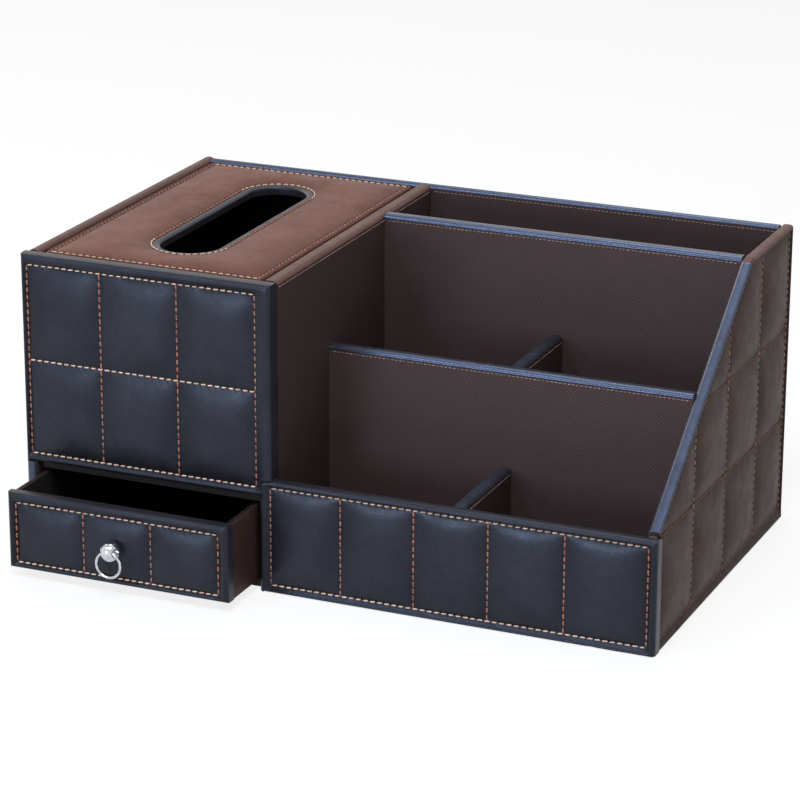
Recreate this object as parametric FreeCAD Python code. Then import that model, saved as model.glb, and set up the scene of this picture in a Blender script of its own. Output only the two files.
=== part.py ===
import FreeCAD, Part
import math
import os

# A tissue box with a drawer, and an open organiser beside it, in padded leather over board.
#
# Millimetres, +Z up. Places are measured from the left end (x), the front face (y) and the
# table (z), and export() moves every piece so that the origin is the middle of the case's
# foot on the table. The drawer is drawn closed and exported pulled out by DRAWER_OPEN.

Vector = FreeCAD.Vector

# ---- driving dimensions -----------------------------------------------------------------

WIDTH = 360.0                # whole case, left to right
DEPTH = 220.0                # whole case, front to back
HEIGHT = 170.0               # table to the top rims

# foot of the case
FELT = 1.0                   # felt sheet under the base
FELT_INSET = 3.0             # felt back from the case's outline
BASE_BOARD = 3.5
COVER_FOOT = 0.5             # leather covers end this far above the table

# walls, from outside to inside: padded leather, board, lining
SIDE_PAD = 2.0               # left end
QUILT_PAD = 3.0              # front panels and right end
BACK_SKIN = 1.0
WALL_BOARD = 4.0
BACK_BOARD = 3.5
TISSUE_FRONT_BOARD = 6.0
SHARED_BOARD = 6.5           # wall between tissues and organiser
DIVIDER_BOARD = 6.0
LINING = 1.0
RIM = 2.0                    # leather over a board's top edge
ROLL = 2.8                   # rounding of the rolled leather edges
FOOT_ROLL = 1.0              # rounding of the covers' bottom edges

# tissue room and drawer bay
TISSUE_ROOM_WIDTH = 131.0    # between linings, for tissues and drawer alike
BAY_SHEET = 0.5              # lining on the drawer bay's floor
BAY_HEIGHT = 44.0
SHELF_BOARD = 3.5
SILL_SETBACK = 6.0           # base and shelf front edges behind the front face

# organiser
LOW_FRONT_HEIGHT = 63.0
LOW_FRONT_CORNER = 7.0       # plan rounding where the low front turns into the drawer bay
SLOPE_FOOT_Y = 5.0           # where the right wall's slope is level with the low front
SLOPE_HEAD_ROUND = 10.0      # bend at the top of the slope
FRONT_DIVIDER_Y = 74.0
REAR_DIVIDER_Y = 148.5
CROSS_X = 244.5              # left face of both cross dividers
FRONT_CROSS_DROP = 1.0       # front cross divider below the low front
REAR_CROSS_DROP = 3.0        # rear cross divider below the front divider

# lid
LID_GAP = 1.4                # all round
LID_PAD = 2.5
LID_EDGE = 1.5               # leather turned down round the lid board and the slot
LID_BOARD = 3.5
LID_BACKING = 0.5
LID_SEAT_GAP = 0.2           # lid above its ledges
LEDGE_WIDTH = 4.0
LEDGE_HEIGHT = 5.0
SLOT_LENGTH = 140.0
SLOT_WIDTH = 34.0
SLOT_LIP = 2.0               # bevel where the leather turns down into the slot

# drawer
DRAWER_GAP = 0.5             # all round in its bay
DRAWER_OPEN = 35.0           # how far the drawer stands out as exported
DRAWER_FRONT = 8.0           # thickness of the padded front
DRAWER_EDGE = 1.5            # leather turned round the front board
DRAWER_SIDE_INSET = 0.5      # sides in from the front's ends
DRAWER_SIDE_DROP = 1.0       # sides below the front's top
DRAWER_SIDE = 3.0
DRAWER_LINING = 0.6
DRAWER_BOTTOM = 3.0
DRAWER_LENGTH = 205.0        # front face to back

# ring pull
BALL = 11.0                  # diameter
BALL_STANDOFF = 6.0          # ball's middle ahead of the drawer front
NECK = 5.0
SCREW = 3.0
SCREW_TIP = 0.5              # screw's tip short of the ball's middle
SCREW_HEAD = 5.6
SCREW_HEAD_HEIGHT = 2.0
SCREW_HOLE_PLAY = 0.2
RING = 16.0                  # outside diameter
WIRE = 1.9
RING_AHEAD = 2.6             # ring's pivot ahead of the ball's middle
RING_ABOVE = 0.5
RING_PLAY = 0.3              # round the wire in the ball's cross hole
RING_SWING_IN = 25.0         # degrees towards the drawer, from hanging
RING_SWING_OUT = 200.0       # degrees outward and up
RING_THROAT = 3.0            # where the ball's cross hole begins to flare, from its middle
RING_MOUTH = 4.7             # where the ring leaves the ball
WIRE_SIDES = 10              # flats round the wire's section
BALL_BANDS = 14              # turned bands from the ball's front to its neck

# quilting
SEAM_EDGE = 3.9              # border seams in from a panel's edges
SEAM_WIDTH = 2.0
SEAM_DEPTH = 0.9
JUNCTION = 5.0               # tissue front's end that the low front's roll laps over
JOINT_SEAM_EDGE = 1.6        # right end's first seam behind the low front
RIM_SEAM_DROP = 0.8          # top seams of both ends below the front's
TISSUE_PAD_COUNT = (3, 2)    # pads across and up
LOW_PAD_COUNT = (5, 1)
END_PAD_COUNT = (4, 3)
DRAWER_PAD_COUNT = (3, 1)
DRAWER_SEAM_EDGE = (5.0, 4.0)  # border seams in from the drawer front's ends and edges
SLOT_SEAM_EDGE = 4.75        # seam out from the slot

# ---- places worked out from them ----------------------------------------------------------

LEFT_WALL = SIDE_PAD + WALL_BOARD + LINING
SHARED_X0 = LEFT_WALL + TISSUE_ROOM_WIDTH
SHARED_X1 = SHARED_X0 + LINING + SHARED_BOARD + LINING
RIGHT_X = WIDTH - QUILT_PAD - WALL_BOARD - LINING
BACK_Y = DEPTH - BACK_SKIN - BACK_BOARD - LINING
TISSUE_FRONT = QUILT_PAD + TISSUE_FRONT_BOARD + LINING
LOW_FRONT = QUILT_PAD + WALL_BOARD + LINING
DIVIDER = LINING + DIVIDER_BOARD + LINING

BASE_TOP = FELT + BASE_BOARD
BAY_FLOOR = BASE_TOP + BAY_SHEET
SHELF_Z = BAY_FLOOR + BAY_HEIGHT
TISSUE_FLOOR = SHELF_Z + SHELF_BOARD + LINING
ORGANISER_FLOOR = BASE_TOP + LINING
BOARD_TOP = HEIGHT - RIM

BASE_Y = SILL_SETBACK + LINING
LEFT_BOARD_X1 = SIDE_PAD + WALL_BOARD
SHARED_BOARD_X0 = SHARED_X0 + LINING
SHARED_BOARD_X1 = SHARED_X1 - LINING
RIGHT_BOARD_X0 = RIGHT_X + LINING
RIGHT_BOARD_X1 = WIDTH - QUILT_PAD
BACK_BOARD_Y0 = BACK_Y + LINING
BACK_BOARD_Y1 = DEPTH - BACK_SKIN
TISSUE_BOARD_Y1 = QUILT_PAD + TISSUE_FRONT_BOARD
LOW_BOARD_Y1 = QUILT_PAD + WALL_BOARD

SLOPE = math.atan2(HEIGHT - LOW_FRONT_HEIGHT, REAR_DIVIDER_Y - SLOPE_FOOT_Y)


def slope_height(y):
    """Height of the right wall's slope at a distance from the front."""
    return LOW_FRONT_HEIGHT + (y - SLOPE_FOOT_Y) * math.tan(SLOPE)


FRONT_DIVIDER_TOP = slope_height(FRONT_DIVIDER_Y + ROLL)
FRONT_CROSS_TOP = LOW_FRONT_HEIGHT - FRONT_CROSS_DROP
REAR_CROSS_TOP = FRONT_DIVIDER_TOP - REAR_CROSS_DROP

LID_X = (LEFT_WALL + LID_GAP, SHARED_X0 - LID_GAP)
LID_Y = (TISSUE_FRONT + LID_GAP, BACK_Y - LID_GAP)
LID_Z0 = HEIGHT - LID_PAD - LID_BOARD - LID_BACKING
SLOT_MIDDLE = (sum(LID_X) / 2, sum(LID_Y) / 2)

DRAWER_X = (LEFT_WALL + DRAWER_GAP, SHARED_X0 - DRAWER_GAP)
DRAWER_Z = (BAY_FLOOR + DRAWER_GAP, SHELF_Z - DRAWER_GAP)
DRAWER_SIDE_X = (DRAWER_X[0] + DRAWER_SIDE_INSET, DRAWER_X[1] - DRAWER_SIDE_INSET)
DRAWER_ROOM_X = (DRAWER_SIDE_X[0] + DRAWER_SIDE, DRAWER_SIDE_X[1] - DRAWER_SIDE)
DRAWER_BACK_Y = DRAWER_LENGTH - DRAWER_SIDE
DRAWER_SIDE_TOP = DRAWER_Z[1] - DRAWER_SIDE_DROP
DRAWER_FLOOR = DRAWER_Z[0] + DRAWER_BOTTOM

BALL_MIDDLE = Vector(sum(DRAWER_X) / 2, -BALL_STANDOFF, sum(DRAWER_Z) / 2)
RING_PIVOT = BALL_MIDDLE + Vector(0, -RING_AHEAD, RING_ABOVE)
WIRE_CIRCLE = (RING - WIRE) / 2

CASE = Vector(-WIDTH / 2, -DEPTH / 2, 0)
DRAWER = CASE + Vector(0, -DRAWER_OPEN, 0)

X, Y, Z = Vector(1, 0, 0), Vector(0, 1, 0), Vector(0, 0, 1)
SAME = 1e-4                  # lengths closer than this are the same
SPARE = 5.0                  # cutters run this far past what they cut


# ---- helpers ------------------------------------------------------------------------------

def block(x, y, z):
    """Box between two limits on each axis."""
    return Part.makeBox(x[1] - x[0], y[1] - y[0], z[1] - z[0], Vector(x[0], y[0], z[0]))


def rod(radius, start, length, axis):
    return Part.makeCylinder(radius, length, start, axis)


def edges(shape, along, x=None, y=None, z=None):
    """Straight edges parallel to one axis that lie at the places given on the others."""
    found = []
    for edge in shape.Edges:
        ends = [vertex.Point for vertex in edge.Vertexes]
        if len(ends) < 2 or abs(abs((ends[1] - ends[0]).dot(along)) - edge.Length) > SAME:
            continue
        middle = (ends[0] + ends[1]) / 2
        places = ((x, middle.x), (y, middle.y), (z, middle.z))
        if all(place is None or abs(place - here) < SAME for place, here in places):
            found.append(edge)
    return found


def roll_for(thickness):
    """Rounding of a rolled edge, no more than its wall can take."""
    return min(ROLL, 0.48 * thickness)


def over_board(outer, *inner):
    """Leather piece with the room for what it covers taken out."""
    return outer.cut(list(inner))


def stadium(middle, length, width, z, grow=0.0):
    """Upright prism with round ends along Y, larger by grow all round."""
    radius = width / 2 + grow
    half = (length - width) / 2
    x, y = middle
    corners = [Vector(x - radius, y - half, z[0]), Vector(x - radius, y + half, z[0]),
               Vector(x + radius, y + half, z[0]), Vector(x + radius, y - half, z[0])]
    far = Part.Arc(corners[1], Vector(x, y + half + radius, z[0]), corners[2])
    near = Part.Arc(corners[3], Vector(x, y - half - radius, z[0]), corners[0])
    outline = Part.Wire([Part.makeLine(corners[0], corners[1]), far.toShape(),
                         Part.makeLine(corners[2], corners[3]), near.toShape()])
    return Part.Face(outline).extrude(Z * (z[1] - z[0]))


def right_wall(x, y, foot, inset):
    """Slab of the right wall: level at the back, sloping to the front, inset from its top line."""
    bend = math.tan(SLOPE / 2)
    radius = SLOPE_HEAD_ROUND - inset
    head = Vector(x[0], REAR_DIVIDER_Y + inset * bend, HEIGHT - inset)
    level_end = head + Y * radius * bend
    slope_end = head - (Y * math.cos(SLOPE) + Z * math.sin(SLOPE)) * radius * bend
    centre = level_end - Z * radius
    crown = centre + (Z * math.cos(SLOPE / 2) - Y * math.sin(SLOPE / 2)) * radius
    front_top = Vector(x[0], y[0], slope_height(y[0]) - inset / math.cos(SLOPE))
    corners = [front_top, Vector(x[0], y[0], foot), Vector(x[0], y[1], foot),
               Vector(x[0], y[1], HEIGHT - inset), level_end]
    sides = [Part.makeLine(a, b) for a, b in zip(corners, corners[1:])]
    sides += [Part.Arc(level_end, crown, slope_end).toShape(), Part.makeLine(slope_end, front_top)]
    return Part.Face(Part.Wire(sides)).extrude(X * (x[1] - x[0]))


def export(name, shape, place=CASE):
    """Write one piece at its place in the part's frame."""
    piece = shape.copy()
    piece.translate(place)
    piece.exportStep(f"parts/{name}.step")


# ---- quilting -----------------------------------------------------------------------------

def spaced(first, last, pads):
    """Seam places that divide a length into equal pads."""
    return [first + (last - first) * step / pads for step in range(pads + 1)]


def groove(start, end, out):
    """Wedge along a seam between two places on a face that looks along out."""
    across = (end - start).cross(out).normalize() * SEAM_WIDTH
    rise = out * SEAM_DEPTH
    corners = [start + rise + across, start + rise - across, start - rise]
    return Part.Face(Part.makePolygon(corners + corners[:1])).extrude(end - start)


def quilt(shape, columns, rows, place, out):
    """Sews a rectangular quilt into a face, place(u, v) being a place on it."""
    seams = [(place(columns[0], v), place(columns[-1], v)) for v in rows]
    seams += [(place(u, rows[0]), place(u, rows[-1])) for u in columns]
    return shape.cut([groove(start, end, out) for start, end in seams])


# ---- boards of the case -------------------------------------------------------------------

def base_felt():
    return block((FELT_INSET, WIDTH - FELT_INSET), (BASE_Y, DEPTH - FELT_INSET), (0, FELT))


def base_board():
    return block((LEFT_BOARD_X1, RIGHT_BOARD_X0), (BASE_Y, BACK_BOARD_Y0), (FELT, BASE_TOP))


def left_board():
    return block((SIDE_PAD, LEFT_BOARD_X1), (QUILT_PAD, BACK_BOARD_Y0), (FELT, BOARD_TOP))


def shared_board():
    return block((SHARED_BOARD_X0, SHARED_BOARD_X1), (TISSUE_BOARD_Y1, BACK_BOARD_Y0),
                 (BASE_TOP, BOARD_TOP))


def right_board():
    return right_wall((RIGHT_BOARD_X0, RIGHT_BOARD_X1), (LOW_FRONT, BACK_BOARD_Y0), FELT, RIM)


def back_board():
    return block((SIDE_PAD, RIGHT_BOARD_X1), (BACK_BOARD_Y0, BACK_BOARD_Y1), (FELT, BOARD_TOP))


def tissue_front_board():
    return block((LEFT_BOARD_X1, SHARED_BOARD_X1), (QUILT_PAD, TISSUE_BOARD_Y1),
                 (TISSUE_FLOOR + RIM, BOARD_TOP))


def low_front_board():
    """Board of the low front, notched under the end of the tissue front."""
    thickness = (QUILT_PAD, LOW_BOARD_Y1)
    board = block((SHARED_X0 + LOW_FRONT_CORNER - QUILT_PAD, RIGHT_BOARD_X1), thickness,
                  (FELT, LOW_FRONT_HEIGHT - RIM))
    return board.cut(block((SHARED_X0, SHARED_X1), thickness, (TISSUE_FLOOR, HEIGHT)))


def shelf_board():
    return block((LEFT_BOARD_X1, SHARED_BOARD_X0), (BASE_Y, BACK_BOARD_Y0),
                 (SHELF_Z, SHELF_Z + SHELF_BOARD))


# ---- leather covers of the case -----------------------------------------------------------

def left_cover():
    """Outer left end, rolled over the board's top and, below the tissue front, its front."""
    slab = block((0, LEFT_WALL), (0, DEPTH), (COVER_FOOT, HEIGHT))
    slab = slab.cut(block((0, LEFT_WALL), (0, TISSUE_FRONT), (TISSUE_FLOOR, HEIGHT)))
    slab = slab.makeFillet(roll_for(LEFT_WALL), edges(slab, Y, z=HEIGHT)
                           + edges(slab, Z, x=0, y=DEPTH) + edges(slab, Z, y=0))
    slab = slab.makeFillet(FOOT_ROLL, edges(slab, Y, x=0, z=COVER_FOOT))
    room = block((SIDE_PAD, LEFT_WALL), (QUILT_PAD, BACK_BOARD_Y1), (0, BOARD_TOP))
    columns = spaced(TISSUE_FRONT + SEAM_EDGE, DEPTH - SEAM_EDGE, END_PAD_COUNT[0])
    return quilt(over_board(slab, room), columns, end_rows(), lambda y, z: Vector(0, y, z), -X)


def end_rows():
    """Heights of the level seams of both ends."""
    return spaced(COVER_FOOT + SEAM_EDGE, HEIGHT - SEAM_EDGE - RIM_SEAM_DROP, END_PAD_COUNT[1])


def right_cover():
    """Outer right end, rolled over the level and sloping top edges."""
    slab = right_wall((RIGHT_X, WIDTH), (LOW_FRONT, DEPTH), COVER_FOOT, 0.0)
    above = LOW_FRONT_HEIGHT + ROLL
    rims = [edge for edge in slab.Edges
            if edge.BoundBox.XLength < SAME and edge.BoundBox.YLength > SAME
            and edge.CenterOfMass.z > above]
    slab = slab.makeFillet(roll_for(WIDTH - RIGHT_X), rims + edges(slab, Z, x=WIDTH, y=DEPTH))
    slab = slab.makeFillet(FOOT_ROLL, edges(slab, Y, x=WIDTH, z=COVER_FOOT))
    room = right_wall((RIGHT_X, RIGHT_BOARD_X1), (LOW_FRONT, BACK_BOARD_Y1), COVER_FOOT, RIM)
    return over_board(slab, room, *[groove(start, end, X) for start, end in right_seams()])


def right_seams():
    """Seams of the right end: its border along the slope, and its pads' below that."""
    front, back = LOW_FRONT + JOINT_SEAM_EDGE, DEPTH - SEAM_EDGE
    rows = end_rows()
    drop = SEAM_EDGE / math.cos(SLOPE)

    def under_slope(y):
        return Vector(WIDTH, y, min(slope_height(y) - drop, rows[-1]))

    def slope_place(z):
        return max(front, SLOPE_FOOT_Y + (z + drop - LOW_FRONT_HEIGHT) / math.tan(SLOPE))

    seams = [(Vector(WIDTH, slope_place(z), z), Vector(WIDTH, back, z)) for z in rows]
    seams += [(Vector(WIDTH, y, rows[0]), under_slope(y))
              for y in spaced(front, back, END_PAD_COUNT[0])]
    return seams + [(under_slope(front), under_slope(slope_place(rows[-1])))]


def back_cover():
    slab = block((LEFT_WALL, RIGHT_X), (BACK_Y, DEPTH), (COVER_FOOT, HEIGHT))
    slab = slab.makeFillet(roll_for(DEPTH - BACK_Y), edges(slab, X, z=HEIGHT))
    slab = slab.makeFillet(FOOT_ROLL / 2, edges(slab, X, y=DEPTH, z=COVER_FOOT))
    room = block((LEFT_WALL, RIGHT_X), (BACK_Y, BACK_BOARD_Y1), (0, BOARD_TOP))
    return over_board(slab, room)


def tissue_front_cover():
    """Quilted front of the tissue box, over the ends of both side walls."""
    slab = block((0, SHARED_X1), (0, TISSUE_FRONT), (TISSUE_FLOOR, HEIGHT))
    slab = slab.makeFillet(roll_for(TISSUE_FRONT), edges(slab, X, y=0) + edges(slab, Z, y=0)
                           + edges(slab, X, y=TISSUE_FRONT, z=HEIGHT))
    room = block((SIDE_PAD, SHARED_BOARD_X1), (QUILT_PAD, TISSUE_FRONT),
                 (TISSUE_FLOOR + RIM, BOARD_TOP))
    lap = block((SHARED_X1 - JUNCTION, SHARED_X1), (0, LOW_FRONT), (TISSUE_FLOOR, LOW_FRONT_HEIGHT))
    cover = over_board(slab, room, left_board(), shared_board(), lap)
    columns = spaced(SEAM_EDGE, SHARED_X0 - RIM_SEAM_DROP, TISSUE_PAD_COUNT[0])
    rows = spaced(TISSUE_FLOOR + SEAM_EDGE + RIM_SEAM_DROP,
                  HEIGHT - SEAM_EDGE - 2 * RIM_SEAM_DROP, TISSUE_PAD_COUNT[1])
    return quilt(cover, columns, rows, lambda x, z: Vector(x, 0, z), -Y)


def low_front_cover():
    """Quilted low front, turned into the drawer bay at its left end."""
    lap_x = SHARED_X1 - JUNCTION
    slab = block((SHARED_X0, WIDTH), (0, LOW_FRONT), (COVER_FOOT, LOW_FRONT_HEIGHT))
    slab = slab.cut(block((SHARED_X0, lap_x), (0, LOW_FRONT), (TISSUE_FLOOR, HEIGHT)))
    slab = slab.makeFillet(LOW_FRONT_CORNER, edges(slab, Z, x=SHARED_X0, y=0))
    slab = slab.makeFillet(roll_for(LOW_FRONT), edges(slab, X, z=LOW_FRONT_HEIGHT)
                           + edges(slab, Z, x=WIDTH, y=0))
    slab = slab.makeFillet(FOOT_ROLL, edges(slab, X, y=0, z=COVER_FOOT))
    below = block((SHARED_X1, RIGHT_BOARD_X1), (QUILT_PAD, LOW_FRONT), (0, BASE_TOP))
    cover = over_board(slab, low_front_board(), organiser_lining_front(), below, base_board(),
                       base_felt(), shelf_board(), tissue_floor_lining(), tissue_front_board())
    columns = spaced(SHARED_X1, WIDTH - SEAM_EDGE, LOW_PAD_COUNT[0])
    rows = spaced(COVER_FOOT + SEAM_EDGE, LOW_FRONT_HEIGHT - SEAM_EDGE, LOW_PAD_COUNT[1])
    return quilt(cover, columns, rows, lambda x, z: Vector(x, 0, z), -Y)


# ---- dividers: a board under a wrap of lining leather --------------------------------------

def divider_board(x, y, foot, top):
    """Board of a divider that lies along X or Y, whichever is longer."""
    if x[1] - x[0] > y[1] - y[0]:
        y = (y[0] + LINING, y[1] - LINING)
    else:
        x = (x[0] + LINING, x[1] - LINING)
    return block(x, y, (foot, top - RIM))


def divider_wrap(x, y, foot, top):
    """Leather over both faces and the rolled top edge of a divider."""
    slab = block(x, y, (foot, top))
    long_way = X if x[1] - x[0] > y[1] - y[0] else Y
    slab = slab.makeFillet(roll_for(DIVIDER), edges(slab, long_way, z=top))
    return over_board(slab, divider_board(x, y, foot, top))


def dividers():
    """Name, limits on X and Y, and top of every divider in the organiser."""
    across = (SHARED_X1, RIGHT_X)
    cross = (CROSS_X, CROSS_X + DIVIDER)
    front = (FRONT_DIVIDER_Y, FRONT_DIVIDER_Y + DIVIDER)
    rear = (REAR_DIVIDER_Y, REAR_DIVIDER_Y + DIVIDER)
    return [("front_divider", across, front, FRONT_DIVIDER_TOP),
            ("rear_divider", across, rear, HEIGHT),
            ("front_cross", cross, (LOW_FRONT, front[0]), FRONT_CROSS_TOP),
            ("rear_cross", cross, (front[1], rear[0]), REAR_CROSS_TOP)]


def shared_wrap():
    """Leather over both faces of the wall between tissues and organiser, and its rim."""
    slab = block((SHARED_X0, SHARED_X1), (TISSUE_FRONT, BACK_Y), (ORGANISER_FLOOR, HEIGHT))
    slab = slab.makeFillet(roll_for(SHARED_X1 - SHARED_X0), edges(slab, Y, z=HEIGHT))
    low_end = block((SHARED_BOARD_X1, SHARED_X1), (LOW_FRONT, TISSUE_FRONT),
                    (ORGANISER_FLOOR, TISSUE_FLOOR))
    below_tissues = block((SHARED_X0, SHARED_BOARD_X0), (TISSUE_FRONT, BACK_Y), (0, TISSUE_FLOOR))
    return over_board(slab.fuse(low_end), shared_board(), below_tissues).removeSplitter()


# ---- linings ------------------------------------------------------------------------------

def tissue_lining_left():
    return block((LEFT_BOARD_X1, LEFT_WALL), (TISSUE_FRONT, BACK_Y), (TISSUE_FLOOR, BOARD_TOP))


def tissue_lining_front():
    return block((LEFT_BOARD_X1, SHARED_BOARD_X0), (TISSUE_BOARD_Y1, TISSUE_FRONT),
                 (TISSUE_FLOOR + RIM, BOARD_TOP))


def tissue_lining_back():
    return block((LEFT_BOARD_X1, SHARED_BOARD_X0), (BACK_Y, BACK_BOARD_Y0),
                 (TISSUE_FLOOR, BOARD_TOP))


def tissue_floor_lining():
    """Floor of the tissue room, turned down over the shelf's front edge."""
    across = (LEFT_BOARD_X1, SHARED_BOARD_X0)
    floor = block(across, (SILL_SETBACK, BACK_BOARD_Y0), (TISSUE_FLOOR - LINING, TISSUE_FLOOR))
    lip = block((LEFT_WALL, SHARED_X0), (SILL_SETBACK, BASE_Y), (SHELF_Z, TISSUE_FLOOR))
    return floor.fuse(lip).removeSplitter()


def bay_lining():
    """Lining of the drawer bay, turned over the base's rounded front edge."""
    outer = block((LEFT_BOARD_X1, SHARED_BOARD_X0), (LOW_FRONT, BACK_BOARD_Y0),
                  (BASE_TOP, SHELF_Z))
    left_end = block((LEFT_BOARD_X1, LEFT_WALL), (QUILT_PAD, LOW_FRONT), (BASE_TOP, SHELF_Z))
    room = block((LEFT_WALL, SHARED_X0), (QUILT_PAD, BACK_Y), (BAY_FLOOR, SHELF_Z))
    sill = block((LEFT_WALL, SHARED_X0), (SILL_SETBACK, LOW_FRONT), (COVER_FOOT, BAY_FLOOR))
    sill = sill.makeFillet(FOOT_ROLL - BAY_SHEET / 2, edges(sill, X, y=SILL_SETBACK))
    under_sill = block((LEFT_WALL, SHARED_X0), (BASE_Y, LOW_FRONT), (0, BASE_TOP))
    walls = outer.fuse(left_end).cut(room)
    return walls.fuse(sill.cut(under_sill)).removeSplitter()


def organiser_lining_front():
    return block((SHARED_X1, RIGHT_BOARD_X1), (LOW_BOARD_Y1, LOW_FRONT),
                 (BASE_TOP, LOW_FRONT_HEIGHT - RIM))


def organiser_lining_back():
    return block((SHARED_BOARD_X1, RIGHT_BOARD_X0), (BACK_Y, BACK_BOARD_Y0),
                 (BASE_TOP, BOARD_TOP))


def organiser_lining_right():
    return right_wall((RIGHT_X, RIGHT_BOARD_X0), (LOW_FRONT, BACK_Y), BASE_TOP, RIM)


def organiser_floors():
    """Floor lining of each of the five compartments."""
    level = (BASE_TOP, ORGANISER_FLOOR)
    front = (LOW_FRONT, FRONT_DIVIDER_Y)
    middle = (FRONT_DIVIDER_Y + DIVIDER, REAR_DIVIDER_Y)
    rear = (REAR_DIVIDER_Y + DIVIDER, BACK_Y)
    left = (SHARED_BOARD_X1, CROSS_X)
    right = (CROSS_X + DIVIDER, RIGHT_X)
    return {"front_left_floor": block(left, front, level),
            "front_right_floor": block(right, front, level),
            "middle_left_floor": block(left, middle, level),
            "middle_right_floor": block(right, middle, level),
            "rear_floor": block((SHARED_BOARD_X1, RIGHT_X), rear, level)}


# ---- lid ----------------------------------------------------------------------------------

def lid_ledges():
    """Strips round the tissue room that carry the lid."""
    top = LID_Z0 - LID_SEAT_GAP
    level = (top - LEDGE_HEIGHT, top)
    left = (LEFT_WALL, LEFT_WALL + LEDGE_WIDTH)
    right = (SHARED_X0 - LEDGE_WIDTH, SHARED_X0)
    between = (left[1], right[0])
    along = (TISSUE_FRONT, BACK_Y)
    return {"lid_ledge_left": block(left, along, level),
            "lid_ledge_right": block(right, along, level),
            "lid_ledge_front": block(between, (TISSUE_FRONT, TISSUE_FRONT + LEDGE_WIDTH), level),
            "lid_ledge_back": block(between, (BACK_Y - LEDGE_WIDTH, BACK_Y), level)}


def lid_plate(inset, z):
    """Plate of the lid's outline and slot, smaller by inset at both."""
    plate = block((LID_X[0] + inset, LID_X[1] - inset), (LID_Y[0] + inset, LID_Y[1] - inset), z)
    slot = stadium(SLOT_MIDDLE, SLOT_LENGTH, SLOT_WIDTH, (z[0] - SPARE, z[1] + SPARE), inset)
    return plate.cut(slot)


def lid_backing():
    return lid_plate(LID_EDGE / 2, (LID_Z0, LID_Z0 + LID_BACKING))


def lid_board():
    return lid_plate(LID_EDGE, (LID_Z0 + LID_BACKING, HEIGHT - LID_PAD))


def lid_cover():
    """Padded leather of the lid, rolled at its outline and turned down into the slot."""
    foot = LID_Z0 + LID_BACKING
    pad = block(LID_X, LID_Y, (foot, HEIGHT))
    pad = pad.makeFillet(roll_for(HEIGHT - foot), edges(pad, X, z=HEIGHT) + edges(pad, Y, z=HEIGHT))
    pad = pad.cut(stadium(SLOT_MIDDLE, SLOT_LENGTH, SLOT_WIDTH, (foot, HEIGHT)))
    x, y = SLOT_MIDDLE
    lip = [edge for edge in pad.Edges
           if edge.BoundBox.ZMin > HEIGHT - SAME and abs(edge.CenterOfMass.x - x) < SLOT_WIDTH
           and abs(edge.CenterOfMass.y - y) < SLOT_LENGTH / 2 + SAME]
    pad = pad.makeChamfer(SLOT_LIP, lip)
    level = (HEIGHT - SEAM_DEPTH, HEIGHT + SPARE)
    hem = stadium(SLOT_MIDDLE, SLOT_LENGTH, SLOT_WIDTH, level, SLOT_SEAM_EDGE + SEAM_WIDTH / 2)
    inside = stadium(SLOT_MIDDLE, SLOT_LENGTH, SLOT_WIDTH, level, SLOT_SEAM_EDGE - SEAM_WIDTH / 2)
    columns = [LID_X[0] + SEAM_EDGE, LID_X[1] - SEAM_EDGE]
    rows = [LID_Y[0] + SEAM_EDGE, LID_Y[1] - SEAM_EDGE]
    pad = over_board(pad, lid_board(), hem.cut(inside))
    return quilt(pad, columns, rows, lambda x, y: Vector(x, y, HEIGHT), Z)


# ---- drawer -------------------------------------------------------------------------------

def drawer_front_board():
    x0, x1 = DRAWER_X
    z0, z1 = DRAWER_Z
    board = block((x0 + DRAWER_EDGE, x1 - DRAWER_EDGE), (QUILT_PAD, DRAWER_FRONT),
                  (z0 + DRAWER_EDGE, z1 - DRAWER_EDGE))
    return board.cut(screw_hole())


def drawer_front_cover():
    """Quilted drawer front, rolled round its four edges."""
    slab = block(DRAWER_X, (0, DRAWER_FRONT), DRAWER_Z)
    slab = slab.makeFillet(roll_for(DRAWER_FRONT), edges(slab, X, y=0) + edges(slab, Z, y=0))
    neck = rod(NECK / 2, BALL_MIDDLE, BALL_STANDOFF + DRAWER_FRONT, Y)
    end, edge = DRAWER_SEAM_EDGE
    columns = spaced(DRAWER_X[0] + end, DRAWER_X[1] - end, DRAWER_PAD_COUNT[0])
    rows = spaced(DRAWER_Z[0] + edge, DRAWER_Z[1] - edge, DRAWER_PAD_COUNT[1])
    cover = over_board(slab, drawer_front_board(), neck)
    return quilt(cover, columns, rows, lambda x, z: Vector(x, 0, z), -Y)


def drawer_side(outer, inner):
    low, high = sorted((outer, inner))
    return block((low, high), (DRAWER_FRONT, DRAWER_LENGTH), (DRAWER_Z[0], DRAWER_SIDE_TOP))


def drawer_back():
    return block(DRAWER_ROOM_X, (DRAWER_BACK_Y, DRAWER_LENGTH), (DRAWER_Z[0], DRAWER_SIDE_TOP))


def drawer_bottom():
    return block(DRAWER_ROOM_X, (DRAWER_FRONT, DRAWER_BACK_Y), (DRAWER_Z[0], DRAWER_FLOOR))


def drawer_lining():
    """Open tub of lining inside the drawer."""
    tub = block(DRAWER_ROOM_X, (DRAWER_FRONT, DRAWER_BACK_Y), (DRAWER_FLOOR, DRAWER_SIDE_TOP))
    room = block((DRAWER_ROOM_X[0] + DRAWER_LINING, DRAWER_ROOM_X[1] - DRAWER_LINING),
                 (DRAWER_FRONT + DRAWER_LINING, DRAWER_BACK_Y - DRAWER_LINING),
                 (DRAWER_FLOOR + DRAWER_LINING, DRAWER_SIDE_TOP))
    return tub.cut(room).cut(screw_hole())


# ---- ring pull ----------------------------------------------------------------------------

def screw_hole():
    return rod(SCREW / 2 + SCREW_HOLE_PLAY, BALL_MIDDLE, BALL_STANDOFF + DRAWER_FRONT + SPARE, Y)


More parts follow.
